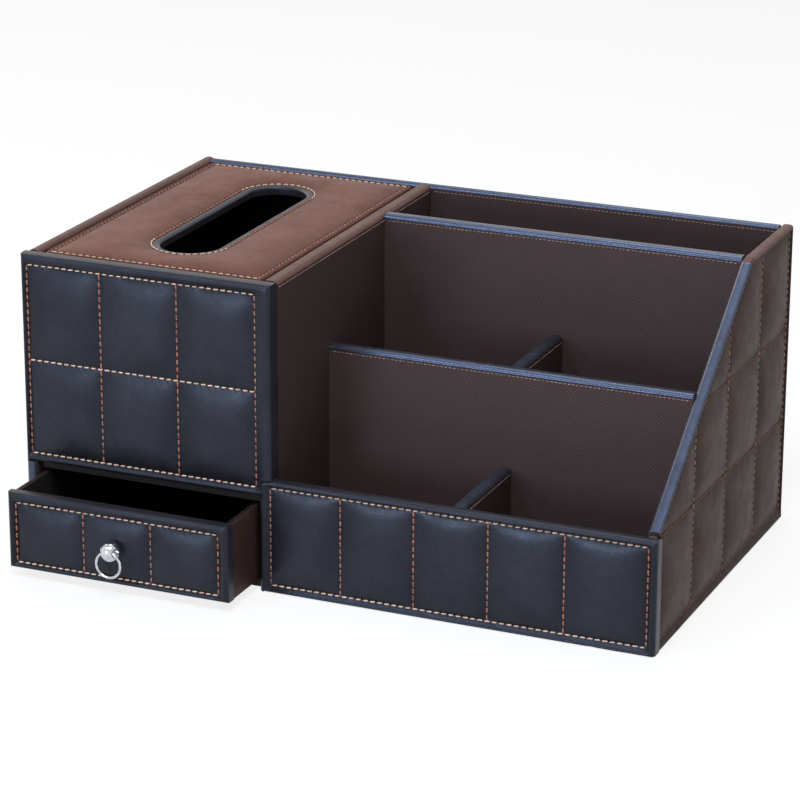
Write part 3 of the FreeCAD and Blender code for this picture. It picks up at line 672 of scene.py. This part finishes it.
def lining(name, thread, ground):
    """Fine twill cross-hatched on both diagonals, on walls and floors alike."""
    f = Finish(name)
    split = f.node("ShaderNodeSeparateXYZ")
    f.put(split.inputs[0], f.place)
    x, y, z = split.outputs
    facing = f.node("ShaderNodeSeparateXYZ")
    f.put(facing.inputs[0], f.node("ShaderNodeTexCoord").outputs["Normal"])
    level_face = f.maths("ABSOLUTE", facing.outputs[2])
    rate = 2 * math.pi / (TWILL_PITCH * MM * math.sqrt(2))
    flip = f.maths("SUBTRACT", 1.0, f.maths("MULTIPLY", level_face, 2.0))
    rising = f.maths("ADD", f.maths("ADD", x, y), z)
    falling = f.maths("SUBTRACT", f.maths("ADD", x, f.maths("MULTIPLY", y, flip)), z)
    wander = f.maths("MULTIPLY", f.noise(300.0, 2.0), 1.6)
    ribs = f.maths("SINE", f.maths("ADD", f.maths("MULTIPLY", rising, rate), wander))
    cross = f.maths("SINE", f.maths("ADD", f.maths("MULTIPLY", falling, rate), wander))
    knots = f.maths("ADD", f.maths("MULTIPLY", ribs, 0.35), f.maths("MULTIPLY", cross, 0.65))
    raised = f.ramp(knots, -0.8, 0.9)
    mottle = f.ramp(f.noise(55.0, 3.0), 0.35, 0.65)
    tone = f.blend(raised, rgb(ground), rgb(thread))
    tone = f.blend(f.maths("MULTIPLY", mottle, 0.25), tone, rgb(ground))
    normal = f.bump(f.noise(1800.0, 2.0), 0.00005, 0.5, f.bump(knots, GRAIN, 0.8))
    rough = f.ramp(raised, 0.0, 1.0, 0.72, 0.5)
    return f.shade(Base_Color=tone, Roughness=rough, Normal=normal, Specular_IOR_Level=0.15)


def thread_finish(name, pale, deep):
    """Twisted waxed thread, with its plies across each stitch."""
    f = Finish(name)
    ply = f.ramp(f.noise(900.0, 2.0), 0.35, 0.65)
    tone = f.blend(ply, rgb(deep), rgb(pale))
    normal = f.bump(f.noise(2400.0, 2.0), 0.00008, 0.7)
    rough = f.ramp(f.noise(500.0), 0.3, 0.7, 0.5, 0.68)
    return f.shade(Base_Color=tone, Roughness=rough, Normal=normal, Specular_IOR_Level=0.3)


def fibrous(name, deep, pale, texture, rough, relief):
    """Matted fibres, of pressed board or of felt."""
    f = Finish(name)
    fibre = f.ramp(f.noise(*texture), 0.3, 0.7)
    return f.shade(Base_Color=f.blend(fibre, rgb(deep), rgb(pale)),
                   Roughness=f.ramp(fibre, 0.0, 1.0, *rough), Normal=f.bump(fibre, *relief))


def metal(name, colour, low, high):
    """Plated metal whose polish is dulled here and there by handling."""
    f = Finish(name)
    smudge = f.ramp(f.noise(260.0, 4.0), 0.35, 0.7)
    tone = f.blend(smudge, rgb(colour), rgb("a6a9ae"))
    return f.shade(Base_Color=tone, Roughness=f.ramp(smudge, 0.0, 1.0, low, high),
                   Normal=f.bump(f.noise(900.0, 2.0), 0.00001, 0.4), Metallic=1.0)


# Each leather's fourth colour is a painted reflection tint: cool on the front and rims, warm on the
# ends, lid, rims of level tops and drawer.
OUTER = leather("espresso_leather", "201e22", "0b0a0c", "2a2a30", "d0e0ff", 0.34, 0.25)
# Glossier, bluer copy of the case leather, a painted highlight on upward-facing edges; on the dividers
# it is also the real leather strip over their tops.
RIM_HIGHLIGHT_LEATHER = leather("rim_leather", "24242a", "101013", "30323a", "b4ccff", 0.28, 1.0)
SIDE = leather("side_leather", "332824", "191110", "403330", "ffd0b0", 0.5, 0.1)
# The lid's brown is partly the leather's own and partly painted warm reflection of its level top.
LID_LEATHER_AND_WARM_REFLECTION = leather("lid_leather_and_warm_reflection", "5c352a", "2c150e", "6c4437", "ffb898", 0.42, 0.13)
# Browner, lighter copy of the case leather for level tops: partly the leather's own brown, partly
# painted warm reflection.
WALL_RIM_AND_WARM_REFLECTION = leather("wall_rim_leather_and_warm_reflection", "4c322c", "251613", "5b3f38", "ffd0b8", 0.42, 0.2)
DRAWER_SKIN = leather("drawer_leather", "2d1f1d", "150e0d", "392926", "ffd0b8", 0.5, 0.2)
TWILL = lining("twill_lining", "493938", "322828")
# Darker copy of the twill for the shared wall, as painted shade.
SHADED_WALL_TWILL = lining("wall_twill_lining_painted_shade", "3b2e2e", "2c2222")
DARK_LINING = lining("dark_lining", "2c2929", "1d1b1b")
# One tan thread in several copies: cream is lightened as painted light on level rows, copper and rust
# are darkened as painted shade.
CREAM_LIT_THREAD = thread_finish("cream_thread_painted_light", "d6b9a4", "a5826b")
COPPER_SHADED_THREAD = thread_finish("copper_thread_painted_shade", "a76e59", "6c3f31")
TAN = thread_finish("tan_thread", "8f7465", "5e4639")
RUST_SHADED_THREAD = thread_finish("rust_thread_painted_shade", "6e4233", "46261c")
TONAL = thread_finish("tonal_thread", "957870", "5c4640")
BOARD = fibrous("pressed_board", "5b544c", "7a7268", (700.0, 4.0, (1.0, 0.35, 1.0)), (0.75, 0.9),
                (0.0001, 0.6))
FELT = fibrous("black_felt", "121212", "26262a", (1500.0, 5.0), (0.85, 0.98), (0.0003, 0.9))
CHROME = metal("chrome", "d2d4d8", 0.06, 0.16)
STEEL = metal("screw_steel", "a6a8ab", 0.22, 0.38)


# ---- covers of the case ----

def grid_planes(columns, rows, across, upward):
    """Cutting planes of a pad's mesh, whose rows may slant."""
    planes = [slice_at(across, column[0]) for column in between(columns)]
    for row in between(rows):
        place, normal = [0.0, 0.0, 0.0], [0.0, 0.0, 0.0]
        place[across], place[upward] = columns[0], row[0]
        normal[across], normal[upward] = (row[0] - row[-1]) / (columns[-1] - columns[0]), 1.0
        planes.append((at(*place), normal))
    return planes


def on_front(u, v, depth):
    return at(u, depth, v)


def tissue_front():
    """Front of the tissue box, six pads, notched where the low front begins."""
    columns, rows = TISSUE_COLUMNS, TISSUE_ROWS
    slab = block("tissue_front", (0, SHARED_X[1]), (0, TISSUE_FRONT_Y), (LOW_FRONT_TOP, HEIGHT))
    cut(slab, [slice_at(0, JUNCTION_X)])
    pull(slab, lambda c, n: n.z < -0.9 and c.x < JUNCTION_X, (0, 0, TISSUE_FOOT - LOW_FRONT_TOP))
    roll(slab, lambda a, b: level(a, b, y=0, x=0) or level(a, b, y=0, z=HEIGHT)
         or level(a, b, y=0, z=TISSUE_FOOT) or level(a, b, y=0, x=SHARED_X[1])
         or level(a, b, y=TISSUE_FRONT_Y, z=HEIGHT), ROLL)
    cut(slab, grid_planes(columns, rows, 0, 2))
    cut(slab, [slice_at(2, HEIGHT - RIM)])
    pull(slab, lambda c, n: n.y > 0.9 and columns[0] < c.x < columns[-1]
         and rows[0] < c.z < HEIGHT - RIM, (0, -HIDDEN, 0))
    seams = quilt_panel(slab, columns, rows, [0, 2], (0, -1, 0))
    dress(slab, "case", "outer_leather", OUTER)
    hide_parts("tissue_front_cover")
    sew_quilt("tissue_front", on_front, *seams, (CREAM_LIT_THREAD, COPPER_SHADED_THREAD))


def low_front():
    """Low front of the organiser, five pads, turned into the drawer bay at its left end."""
    columns, rows = LOW_COLUMNS, LOW_ROWS
    slab = block("low_front", (SHARED_X[0], WIDTH), (0, LOW_FRONT_Y), (COVER_FOOT, TISSUE_FOOT))
    cut(slab, [slice_at(0, JUNCTION_X)])
    pull(slab, lambda c, n: n.z > 0.9 and c.x > JUNCTION_X, (0, 0, LOW_FRONT_TOP - TISSUE_FOOT))
    roll(slab, lambda a, b: level(a, b, y=0, x=SHARED_X[0]), LOW_CORNER, 6)
    roll(slab, lambda a, b: level(a, b, z=LOW_FRONT_TOP) and abs(a.x - b.x) > 1
         or level(a, b, y=0, x=WIDTH), ROLL)
    roll(slab, lambda a, b: level(a, b, y=0, z=COVER_FOOT), FOOT_ROLL, 3)
    cut(slab, grid_planes(columns, rows, 0, 2))
    cut(slab, [slice_at(2, LOW_FRONT_TOP - RIM)])
    pull(slab, lambda c, n: n.y > 0.9 and SHARED_X[1] + 0.5 < c.x < columns[-1]
         and rows[0] < c.z < LOW_FRONT_TOP - RIM, (0, -HIDDEN, 0))
    seams = quilt_panel(slab, columns, rows, [0, 2], (0, -1, 0))
    dress(slab, "case", "outer_leather", OUTER)
    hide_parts("low_front_cover")
    sew_quilt("low_front", on_front, *seams, (CREAM_LIT_THREAD, COPPER_SHADED_THREAD))


def slope_seam(y):
    """Height of the seam that follows the slope and then the level top."""
    return min(SIDE_ROWS[-1][0], slope_top(y) - SLOPE_SEAM / math.cos(SLOPE)
               if y < SLOPE_HEAD[0] else HEIGHT)


def row_start(row):
    """Where a row of the right end meets the seam along the slope."""
    front, back = SIDE_COLUMNS[0], SIDE_COLUMNS[-1]
    for y in np.arange(front, back, 0.25):
        height = row[0] + (row[1] - row[0]) * (y - front) / (back - front)
        if slope_seam(y) > height:
            return y, height


def right_end():
    """Right end of the case, level at the back and sloping down to the low front."""
    slab = block("right_end", (RIGHT_X, WIDTH), (LOW_FRONT_Y, DEPTH), (COVER_FOOT, HEIGHT))
    up_slope = Vector((0, -math.sin(SLOPE), math.cos(SLOPE)))
    head = at(0, *SLOPE_HEAD)
    cut(slab, [(at(WIDTH, *SLOPE_HEAD), up_slope)], clear_outer=True)
    roll(slab, lambda a, b: level(a, b, y=SLOPE_HEAD[0], z=HEIGHT),
         SLOPE_HEAD_ROUND * math.tan(SLOPE / 2), 4)
    roll(slab, lambda a, b: abs(a.x - b.x) < TOUCH and min(a.y, b.y) > LOW_FRONT_Y - TOUCH
         and a.z > slope_top(a.y) - 2 and b.z > slope_top(b.y) - 2 and abs(a.y - b.y) > 0.1
         or level(a, b, x=WIDTH, y=DEPTH), ROLL)
    roll(slab, lambda a, b: level(a, b, x=WIDTH, z=COVER_FOOT), FOOT_ROLL, 3)
    cut(slab, grid_planes(SIDE_COLUMNS, SIDE_ROWS, 1, 2))
    cut(slab, [(head - up_slope * SLOPE_SEAM * MM, up_slope), slice_at(2, HEIGHT - RIM),
               (head - up_slope * RIM * MM, up_slope)])
    merge(slab, 0.45)
    front, back = SIDE_COLUMNS[0], SIDE_COLUMNS[-1]
    foot, lower, upper, top = SIDE_ROWS
    pull(slab, lambda c, n: n.x < -0.9 and c.z < slope_top(c.y) - RIM / math.cos(SLOPE) - 0.2
         and foot[0] < c.z < HEIGHT - RIM and c.y < back, (HIDDEN, 0, 0))
    drop = SLOPE_HEAD[1] - SLOPE_SEAM / math.cos(SLOPE) - top[0]
    high_end, low_end = (SLOPE_HEAD[0] - drop / math.tan(SLOPE), top[0]), (front, slope_seam(front))
    across = [[(front, foot[0]), (back, foot[1])], [row_start(lower), (back, lower[1])],
              [row_start(upper), (back, upper[1])], [(back, top[1]), high_end]]
    slope = [[high_end, low_end]]
    upward = [[(y, foot[0]), (y, slope_seam(y))] for y in SIDE_COLUMNS]
    outline = [(front, foot[0]), (back, foot[1]), (back, top[1]), high_end, low_end]
    quilt(slab, [1, 2], (1, 0, 0), outline, across + slope + upward)
    dress_side(slab)
    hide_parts("right_cover")
    sew_quilt("right_end", lambda u, v, d: at(WIDTH - d, u, v), across, upward + slope,
              (RUST_SHADED_THREAD, TAN))


def left_end():
    """Left end of the case, notched behind the tissue box's front."""
    columns, rows = LEFT_COLUMNS, [row[0] for row in SIDE_ROWS]
    slab = block("left_end", (0, LEFT_WALL), (0, DEPTH), (COVER_FOOT, TISSUE_FOOT))
    cut(slab, [slice_at(1, TISSUE_FRONT_Y)])
    pull(slab, lambda c, n: n.z > 0.9 and c.y > TISSUE_FRONT_Y, (0, 0, HEIGHT - TISSUE_FOOT))
    roll(slab, lambda a, b: level(a, b, z=HEIGHT) and abs(a.y - b.y) > LONG
         or level(a, b, x=0, y=DEPTH) or level(a, b, y=0) and abs(a.x - b.x) < TOUCH, ROLL)
    roll(slab, lambda a, b: level(a, b, x=0, z=COVER_FOOT), FOOT_ROLL, 3)
    cut(slab, grid_planes(columns, rows, 1, 2))
    cut(slab, [slice_at(2, HEIGHT - RIM), slice_at(1, CORNER_STRIP)])
    pull(slab, lambda c, n: n.x > 0.9 and CORNER_STRIP < c.y < columns[-1]
         and rows[0] < c.z < HEIGHT - RIM, (-HIDDEN, 0, 0))
    seams = quilt_panel(slab, columns, rows, [1, 2], (-1, 0, 0), THIN_SEAM_DEPTH)
    dress_side(slab)
    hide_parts("left_cover")
    sew_quilt("left_end", lambda u, v, d: at(d, u, v), *seams, (RUST_SHADED_THREAD, TAN),
              sink=THIN_SEAM_DEPTH - THREAD_RISE)


def back_skin():
    """Plain back of the case with a sewn border."""
    columns, rows = BACK_COLUMNS, BACK_ROWS
    slab = block("back_skin", (LEFT_WALL, RIGHT_X), (BACK_Y, DEPTH), (COVER_FOOT, HEIGHT))
    roll(slab, lambda a, b: level(a, b, z=HEIGHT) and abs(a.x - b.x) > LONG, BACK_ROLL)
    roll(slab, lambda a, b: level(a, b, y=DEPTH, z=COVER_FOOT), FOOT_ROLL / 2, 2)
    cut(slab, grid_planes(columns, rows, 0, 2))
    cut(slab, [slice_at(2, HEIGHT - RIM)])
    pull(slab, lambda c, n: n.y < -0.9 and rows[0] < c.z < HEIGHT - RIM, (0, BACK_HIDDEN, 0))
    across, upward = quilt_panel(slab, columns, rows, [0, 2], (0, 1, 0), BACK_DEPTH, 1)
    dress_side(slab)
    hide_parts("back_cover")
    sew("back_seams", lambda u, v, d: at(u, DEPTH - d, v), across + upward, TAN, "case",
        sink=BACK_DEPTH - THREAD_RISE)


# ---- walls of the organiser ----

def wrapped_wall(name, x, y, top, rim, cloth):
    """Board wrapped in lining, with a strip of leather rolled over its top edge."""
    along = 0 if x[1] - x[0] > y[1] - y[0] else 1
    wall = block(name, x, y, (ORGANISER_FLOOR, top))
    roll(wall, lambda a, b: level(a, b, z=top) and abs(a[along] - b[along]) > LONG, ROLL, 6)
    ends, (near, far) = ((x, y), (y, x))[along]
    cut(wall, [slice_at(2, top - height) for height in (RIM_EDGE, RIM_SEAM, 2 * RIM_SEAM)]
        + [slice_at(along, place[0]) for place in between(ends, 6.0)[1:-1]])
    subdivide(wall, 2)
    places = points_of(wall)
    crease_and_shade = np.exp(-((places[:, 2] - top + RIM_EDGE + 0.25) / 0.35) ** 2)
    below = places[:, 2] < top - RIM
    places -= read(wall.data.vertices, "normal") * (RIM_CREASE * crease_and_shade * below)[:, None]
    move_points(wall, places)
    # The crease along the strip's edge is also marked for painted shade in the rim leather.
    wall.data.attributes.new("crease_and_shade", "FLOAT", "POINT").data.foreach_set("value", crease_and_shade)
    dress(wall, "case", "lining_leather", cloth, rim)
    for face in wall.data.polygons:
        face.material_index = int(in_mm(face.center).z > top - RIM_EDGE)
    smooth(wall)
    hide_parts(name + "_wrap")
    seam = [[(end, top - RIM_SEAM) for end in (ends[0] + SEAM_MARGIN, ends[1] - SEAM_MARGIN)]]
    for side, start, way in (("front", near, 1), ("back", far, -1)):
        fine_seam(f"{name}_seam_{side}", lambda u, v, d: at(*(
            (start + way * d, u) if along else (u, start + way * d)), v), seam)


def fine_seam(name, place, seams):
    """Small tonal stitches through a lining."""
    sew(name, place, seams, TONAL, "case", FINE_STITCH, -FINE_RISE, FINE_PITCH)


def lining_seams():
    """Tonal stitches under the rims of the low front, the back and the right end."""
    start, bend = LOW_FRONT_Y + 3.0, SLOPE_HEAD[0] + RIM_SEAM * math.tan(SLOPE / 2)
    left, right = SHARED_X[1] + SEAM_MARGIN, RIGHT_X - SEAM_MARGIN
    high, low = HEIGHT - RIM_SEAM, LOW_FRONT_TOP - RIM_SEAM
    fine_seam("back_lining_seam", lambda u, v, d: at(u, BACK_Y + d, v), [[(left, high), (right, high)]])
    fine_seam("front_lining_seam", lambda u, v, d: at(u, LOW_FRONT_Y - d, v),
              [[(left, low), (right, low)]])
    fine_seam("right_lining_seam", lambda u, v, d: at(RIGHT_X + d, u, v),
              [[(start, slope_top(start) - RIM_SEAM / math.cos(SLOPE)), (bend, high)],
               [(bend, high), (BACK_Y - SEAM_MARGIN, high)]])


# ---- lid ----

def lid_ring(grow):
    """Points of a ring round the slot, larger than it by grow."""
    radius = SLOT_RADIUS + grow
    runs = [(SLOT_HALF + radius * math.pi / 4) * step / LID_SIDE for step in range(LID_SIDE)]
    turns = [(min(run, SLOT_HALF), max(0.0, run - SLOT_HALF) / radius) for run in runs]
    turns += [(SLOT_HALF, math.pi / 4 * (1 + step / LID_END)) for step in range(LID_END)]
    quarter = [(radius * math.cos(turn), run + radius * math.sin(turn)) for run, turn in turns]
    return whole_ring(quarter, (0.0, SLOT_HALF + radius))


def lid_frame(inset, corner=0.0):
    """Points of a ring along the lid's outline, in from it by inset."""
    w = (LID_X[1] - LID_X[0]) / 2 - inset
    h = (LID_Y[1] - LID_Y[0]) / 2 - inset
    quarter = [(w, h * step / LID_SIDE) for step in range(LID_SIDE)]
    quarter += [(w * (1 - step / LID_END), h) for step in range(LID_END)]
    if corner:
        quarter = [rounded(p, (w, h), corner) for p in quarter]
    return whole_ring(quarter, (0.0, h))


def rounded(point, extent, radius):
    """A point of a square corner brought in to a round one."""
    x, y = (max(0.0, value - limit + radius) for value, limit in zip(point, extent))
    reach = math.hypot(x, y)
    if min(x, y) <= 0 or reach <= radius:
        return point
    return tuple(limit - radius + value * radius / reach
                 for value, limit in zip((x, y), extent))


def whole_ring(quarter, last):
    """A full ring from its first quarter, anticlockwise."""
    second = [(-x, y) for x, y in [last] + quarter[:0:-1]]
    half = quarter + second
    return np.array(half + [(-x, -y) for x, y in half])


def lid_rings():
    """Rings of the lid's leather, up its outer edge, over the pad and down into the slot."""
    turns = [math.pi / 2 * step / 5 for step in range(6)]
    rolls = [(ROLL * (1 - math.cos(turn)), HEIGHT - ROLL * (1 - math.sin(turn))) for turn in turns]
    border, hem = lid_frame(LID_SEAM), lid_ring(SLOT_SEAM)
    shares = [step / LID_STEPS for step in range(LID_STEPS + 1)]
    return [(lid_frame(0, ROLL), LID_FOOT), (lid_frame(0, ROLL), LID_FOOT + LID_RISE),
            *[(lid_frame(inset, ROLL - inset), height) for inset, height in rolls],
            *[(border * (1 - share) + hem * share, HEIGHT) for share in shares],
            (lid_ring(SLOT_SEAM - 1.0), HEIGHT),
            *[(lid_ring(grow), height) for grow, height in rolls[::-1]],
            (lid_ring(0), LID_FOOT + LID_RISE), (lid_ring(0), LID_FOOT)]


def beyond_slot(points, grow=SLOT_SEAM):
    """How far points lie outside the slot's outline grown by a distance."""
    x = points[:, 0] - SLOT_MIDDLE[0]
    y = np.maximum(np.abs(points[:, 1] - SLOT_MIDDLE[1]) - SLOT_HALF, 0)
    return np.hypot(x, y) - SLOT_RADIUS - grow


def lid():
    """Padded lid with a rolled slot, sewn round its border and round the slot."""
    rings = lid_rings()
    around = len(rings[0][0])
    pad = primitive("lid_pad", bpy.ops.mesh.primitive_torus_add, major_segments=around,
                    minor_segments=len(rings), major_radius=0.08, minor_radius=0.02)
    places = np.empty((around, len(rings), 3))
    for number, (ring, height) in enumerate(rings):
        places[:, number, :2] = ring + np.array(SLOT_MIDDLE)
        places[:, number, 2] = height
    move_points(pad, places.reshape(-1, 3))
    columns = (LID_X[0] + LID_SEAM, LID_X[1] - LID_SEAM)
    rows = (LID_Y[0] + LID_SEAM, LID_Y[1] - LID_SEAM)
    across, upward, outline = grid_seams(columns, rows)
    slot_ends, slot_sides = slot_seams()
    quilt(pad, [0, 1], (0, 0, 1), outline, across + upward + slot_ends + slot_sides,
          LID_SEAM_DEPTH, holes=LID_HOLES, slot=beyond_slot)
    dress(pad, "lid", "outer_leather", LID_LEATHER_AND_WARM_REFLECTION, OUTER)
    centres = read(pad.data.polygons, "center") / MM + MIDDLE
    in_lip = beyond_slot(centres, SLOT_SEAM - LIP_EDGE) < 0
    pad.data.polygons.foreach_set("material_index", in_lip.astype(int))
    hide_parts("lid_cover")
    sew_quilt("lid", lambda u, v, d: at(u, v, HEIGHT - d), across + slot_ends, upward + slot_sides,
              (CREAM_LIT_THREAD, COPPER_SHADED_THREAD), "lid", LID_SEAM_DEPTH - THREAD_RISE)


# ---- drawer ----

def drawer_front():
    """Quilted drawer front, three pads, rolled on its four edges and along its back's top."""
    columns, rows = DRAWER_COLUMNS, DRAWER_ROWS
    back = DRAWER_FACE + DRAWER_FRONT
    slab = block("drawer_pad", DRAWER_X, (DRAWER_FACE, back), DRAWER_Z)
    roll(slab, lambda a, b: level(a, b, y=DRAWER_FACE) or level(a, b, y=back, z=DRAWER_Z[1]), ROLL)
    cut(slab, grid_planes(columns, rows, 0, 2))
    seams = quilt_panel(slab, columns, rows, [0, 2], (0, -1, 0))
    dress(slab, "drawer", "outer_leather", OUTER)
    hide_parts("drawer_front_cover")
    sew_quilt("drawer", lambda u, v, d: at(u, DRAWER_FACE + d, v), *seams, (CREAM_LIT_THREAD, COPPER_SHADED_THREAD), "drawer")


def drawer_board(node):
    """Side or back of the drawer, its top edge rounded under its leather."""
    low, high = (in_mm(corner) for corner in map(Vector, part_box(node)))
    along = 0 if high.x - low.x > high.y - low.y else 1
    panel = block(node.replace("drawer", "drawer_skin"), *zip(low, high))
    roll(panel, lambda a, b: level(a, b, z=high.z) and abs(a[along] - b[along]) > LONG, BOARD_ROLL, 3)
    cut(panel, [slice_at(along, place[0]) for place in between((low[along], high[along]), 12.0)[1:-1]])
    subdivide(panel, 1)
    smooth(panel)
    dress(panel, "drawer", "drawer_leather", DRAWER_SKIN)
    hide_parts(node)


# ---- ring pull ----

def turned(name, start, profile, segments=40, along=1):
    """Piece turned about a line that runs right or back from a place, from distances and radii."""
    piece = primitive(name, bpy.ops.mesh.primitive_uv_sphere_add, segments=segments,
                      ring_count=len(profile) + 1, radius=1)
    places = points_of(piece) - MIDDLE
    distances, radii = np.array([(profile[0][0], 0.0), *profile, (profile[-1][0], 0.0)]).T
    polar = np.arccos(np.clip(places[:, 2] * MM, -1, 1))
    ring = np.rint(polar * (len(profile) + 1) / math.pi).astype(int)
    turn = np.arctan2(places[:, 1], places[:, 0])
    across, upward = radii[ring] * np.cos(turn), radii[ring] * np.sin(turn)
    columns = (across, distances[ring], upward) if along else (distances[ring], upward, across)
    move_points(piece, np.array(start) + np.column_stack(columns))
    return piece


def ring_passage():
    """Cross hole for the ball that flares both ways, clear of the ring as it swings."""
    inner = RING_CIRCLE - WIRE / 2 - RING_PLAY
    flare = [(x, RING_CIRCLE - math.sqrt(inner ** 2 - x ** 2)) for x in np.linspace(-4.8, 4.8, 15)]
    wide = 2 * flare[-1][1] - flare[-2][1]
    hole = turned("ring_passage", RING_PIVOT, [(-6, wide), *flare, (6, wide)], 36, along=0)
    x, y, z = RING_PIVOT
    cut(hole, [(at(x, y + RING_BACK, z), (0, 1, 0))], clear_outer=True)
    return hole


def ring_pull():
    """Polished ball on its neck, with the ring hanging through it."""
    turns = [math.radians(turn) for turn in range(6, 150, 6)]
    profile = [(-BALL / 2 * math.cos(turn), BALL / 2 * math.sin(turn)) for turn in turns]
    profile += [(BALL_STANDOFF + back, NECK / 2 + wider)
                for back, wider in ((-0.6, 0.0), (0.4, 0.9), (1.2, 0.9), (3.0, 0.0))]
    ball = turned("pull_knob", BALL_MIDDLE, profile)
    hole = ring_passage()
    bore = ball.modifiers.new("bore", "BOOLEAN")
    bore.object = hole
    bore.solver = "EXACT"
    only(ball)
    bpy.ops.object.modifier_apply(modifier=bore.name)
    bpy.data.objects.remove(hole)
    smooth(ball, 40)
    dress(ball, "drawer", "chrome", CHROME)
    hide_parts("pull_ball")
    x, y, z = RING_PIVOT
    hanger = primitive("pull_hanger", bpy.ops.mesh.primitive_torus_add, major_segments=56,
                       minor_segments=18, major_radius=RING_CIRCLE * MM, minor_radius=WIRE / 2 * MM,
                       rotation=(math.pi / 2, 0, 0), location=at(x, y, z - RING_CIRCLE))
    bpy.ops.object.transform_apply(location=True, rotation=True, scale=True)
    smooth(hanger, 60)
    dress(hanger, "ring", "chrome", CHROME)
    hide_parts("pull_ring")


# ---- nodes that stay ----

def finish_nodes():
    """A material for every node of the frame, shown or hidden."""
    finishes = {"outer_leather": OUTER, "lining_leather": TWILL, "drawer_leather": DRAWER_SKIN,
                "black_lining": DARK_LINING, "board": BOARD, "felt": FELT, "chrome": CHROME,
                "steel": STEEL}
    linings = {"tissue_floor_lining": DARK_LINING, "drawer_bay_lining": DARK_LINING}
    for name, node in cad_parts.items():
        for holder in node.material_slots:
            finish = finishes[holder.material.name.split(".")[0]]
            holder.material = linings.get(name, finish)


# ---- light, floor and camera ----

def studio():
    """Pale floor, white surroundings, and soft lamps."""
    world = bpy.data.worlds.new("studio")
    bpy.context.scene.world = world
    world.use_nodes = True
    w = Nodes(world.node_tree)
    dim, white = w.tree.nodes["Background"], w.node("ShaderNodeBackground")
    w.put(dim.inputs["Color"], (0.86, 0.90, 1.0, 1))
    w.put(dim.inputs["Strength"], 0.3)
    w.put(white.inputs["Color"], (1, 1, 1, 1))
    w.mix(w.seen(), dim.outputs[0], white.outputs[0], "World Output")

    floor = primitive("floor", bpy.ops.mesh.primitive_plane_add, size=8, location=(0, 0, 0))
    f = Finish("pale_floor")
    glow = f.node("ShaderNodeEmission")
    f.put(glow.inputs["Color"], (1, 1, 1, 1))
    f.mix(f.maths("MULTIPLY", f.seen(), 0.82), f.shader.outputs[0], glow.outputs[0],
          "Material Output")
    tone = f.blend(f.noise(6.0), (0.84, 0.84, 0.84, 1), (0.88, 0.88, 0.88, 1))
    floor.data.materials.append(f.shade(Base_Color=tone, Roughness=0.9))

    lamp("key", (0.25, -0.95, 1.7), 0.6, 26, (0.94, 0.96, 1.0))
    lamp("cool", (-0.65, -1.05, 1.4), 0.35, 7, (0.55, 0.74, 1.0))
    lamp("front", (-0.45, -1.6, 0.3), 0.4, 10, (0.78, 0.88, 1.0))
    lamp("sky", (-0.1, 0.5, 1.6), 0.7, 9, (0.80, 0.90, 1.0))
    lamp("right", (1.8, -0.1, 0.35), 0.8, 7, (1.0, 0.86, 0.76))
    lamp("left", (-1.2, 0.7, 0.9), 0.7, 6, (1.0, 0.80, 0.66))


def lamp(name, place, size, watts, colour):
    """Soft square lamp aimed at the middle of the case."""
    bpy.ops.object.light_add(type="AREA", location=place)
    light = bpy.context.object
    light.name = name
    light.rotation_euler = (Vector((0, 0, 0.08)) - Vector(place)).to_track_quat("-Z", "Y").to_euler()
    light.data.size = size
    light.data.energy = watts
    light.data.color = colour


def camera():
    """Long lens in front, to the right and a little above."""
    azimuth, elevation, tilt = map(math.radians, (23.228, 19.063, 0.213))
    back = Vector((math.sin(azimuth) * math.cos(elevation), -math.cos(azimuth) * math.cos(elevation),
                   math.sin(elevation)))
    right = Vector((math.cos(azimuth), math.sin(azimuth), 0))
    up = back.cross(right)
    side = right * math.cos(tilt) + up * math.sin(tilt)
    top = up * math.cos(tilt) - right * math.sin(tilt)
    place = Vector((0, -0.010, 0.075)) - side * 0.002783 + top * 0.006293 + back * 1.8129
    bpy.ops.object.camera_add(location=place)
    view = bpy.context.object
    view.rotation_euler = Matrix((side, top, back)).transposed().to_euler()
    view.data.lens, view.data.sensor_width, view.data.clip_end = 149.9, 36, 20
    bpy.context.scene.camera = view


# ---- make everything ----

bpy.context.scene.view_settings.view_transform = "Standard"
finish_nodes()
tissue_front()
low_front()
right_end()
left_end()
back_skin()
# The shared wall takes the painted-shade twill and the brown rim leather with painted warm reflection;
# the dividers' rims take the glossier leather as painted highlight.
wrapped_wall("shared_wall", SHARED_X, (TISSUE_FRONT_Y, BACK_Y), HEIGHT, WALL_RIM_AND_WARM_REFLECTION, SHADED_WALL_TWILL)
for divider, (across_x, along_y, crest) in DIVIDERS.items():
    wrapped_wall(divider, across_x, along_y, crest, RIM_HIGHLIGHT_LEATHER, TWILL)
lining_seams()
lid()
drawer_front()
for board in ("drawer_left_side", "drawer_right_side", "drawer_back"):
    drawer_board(board)
ring_pull()
studio()
camera()
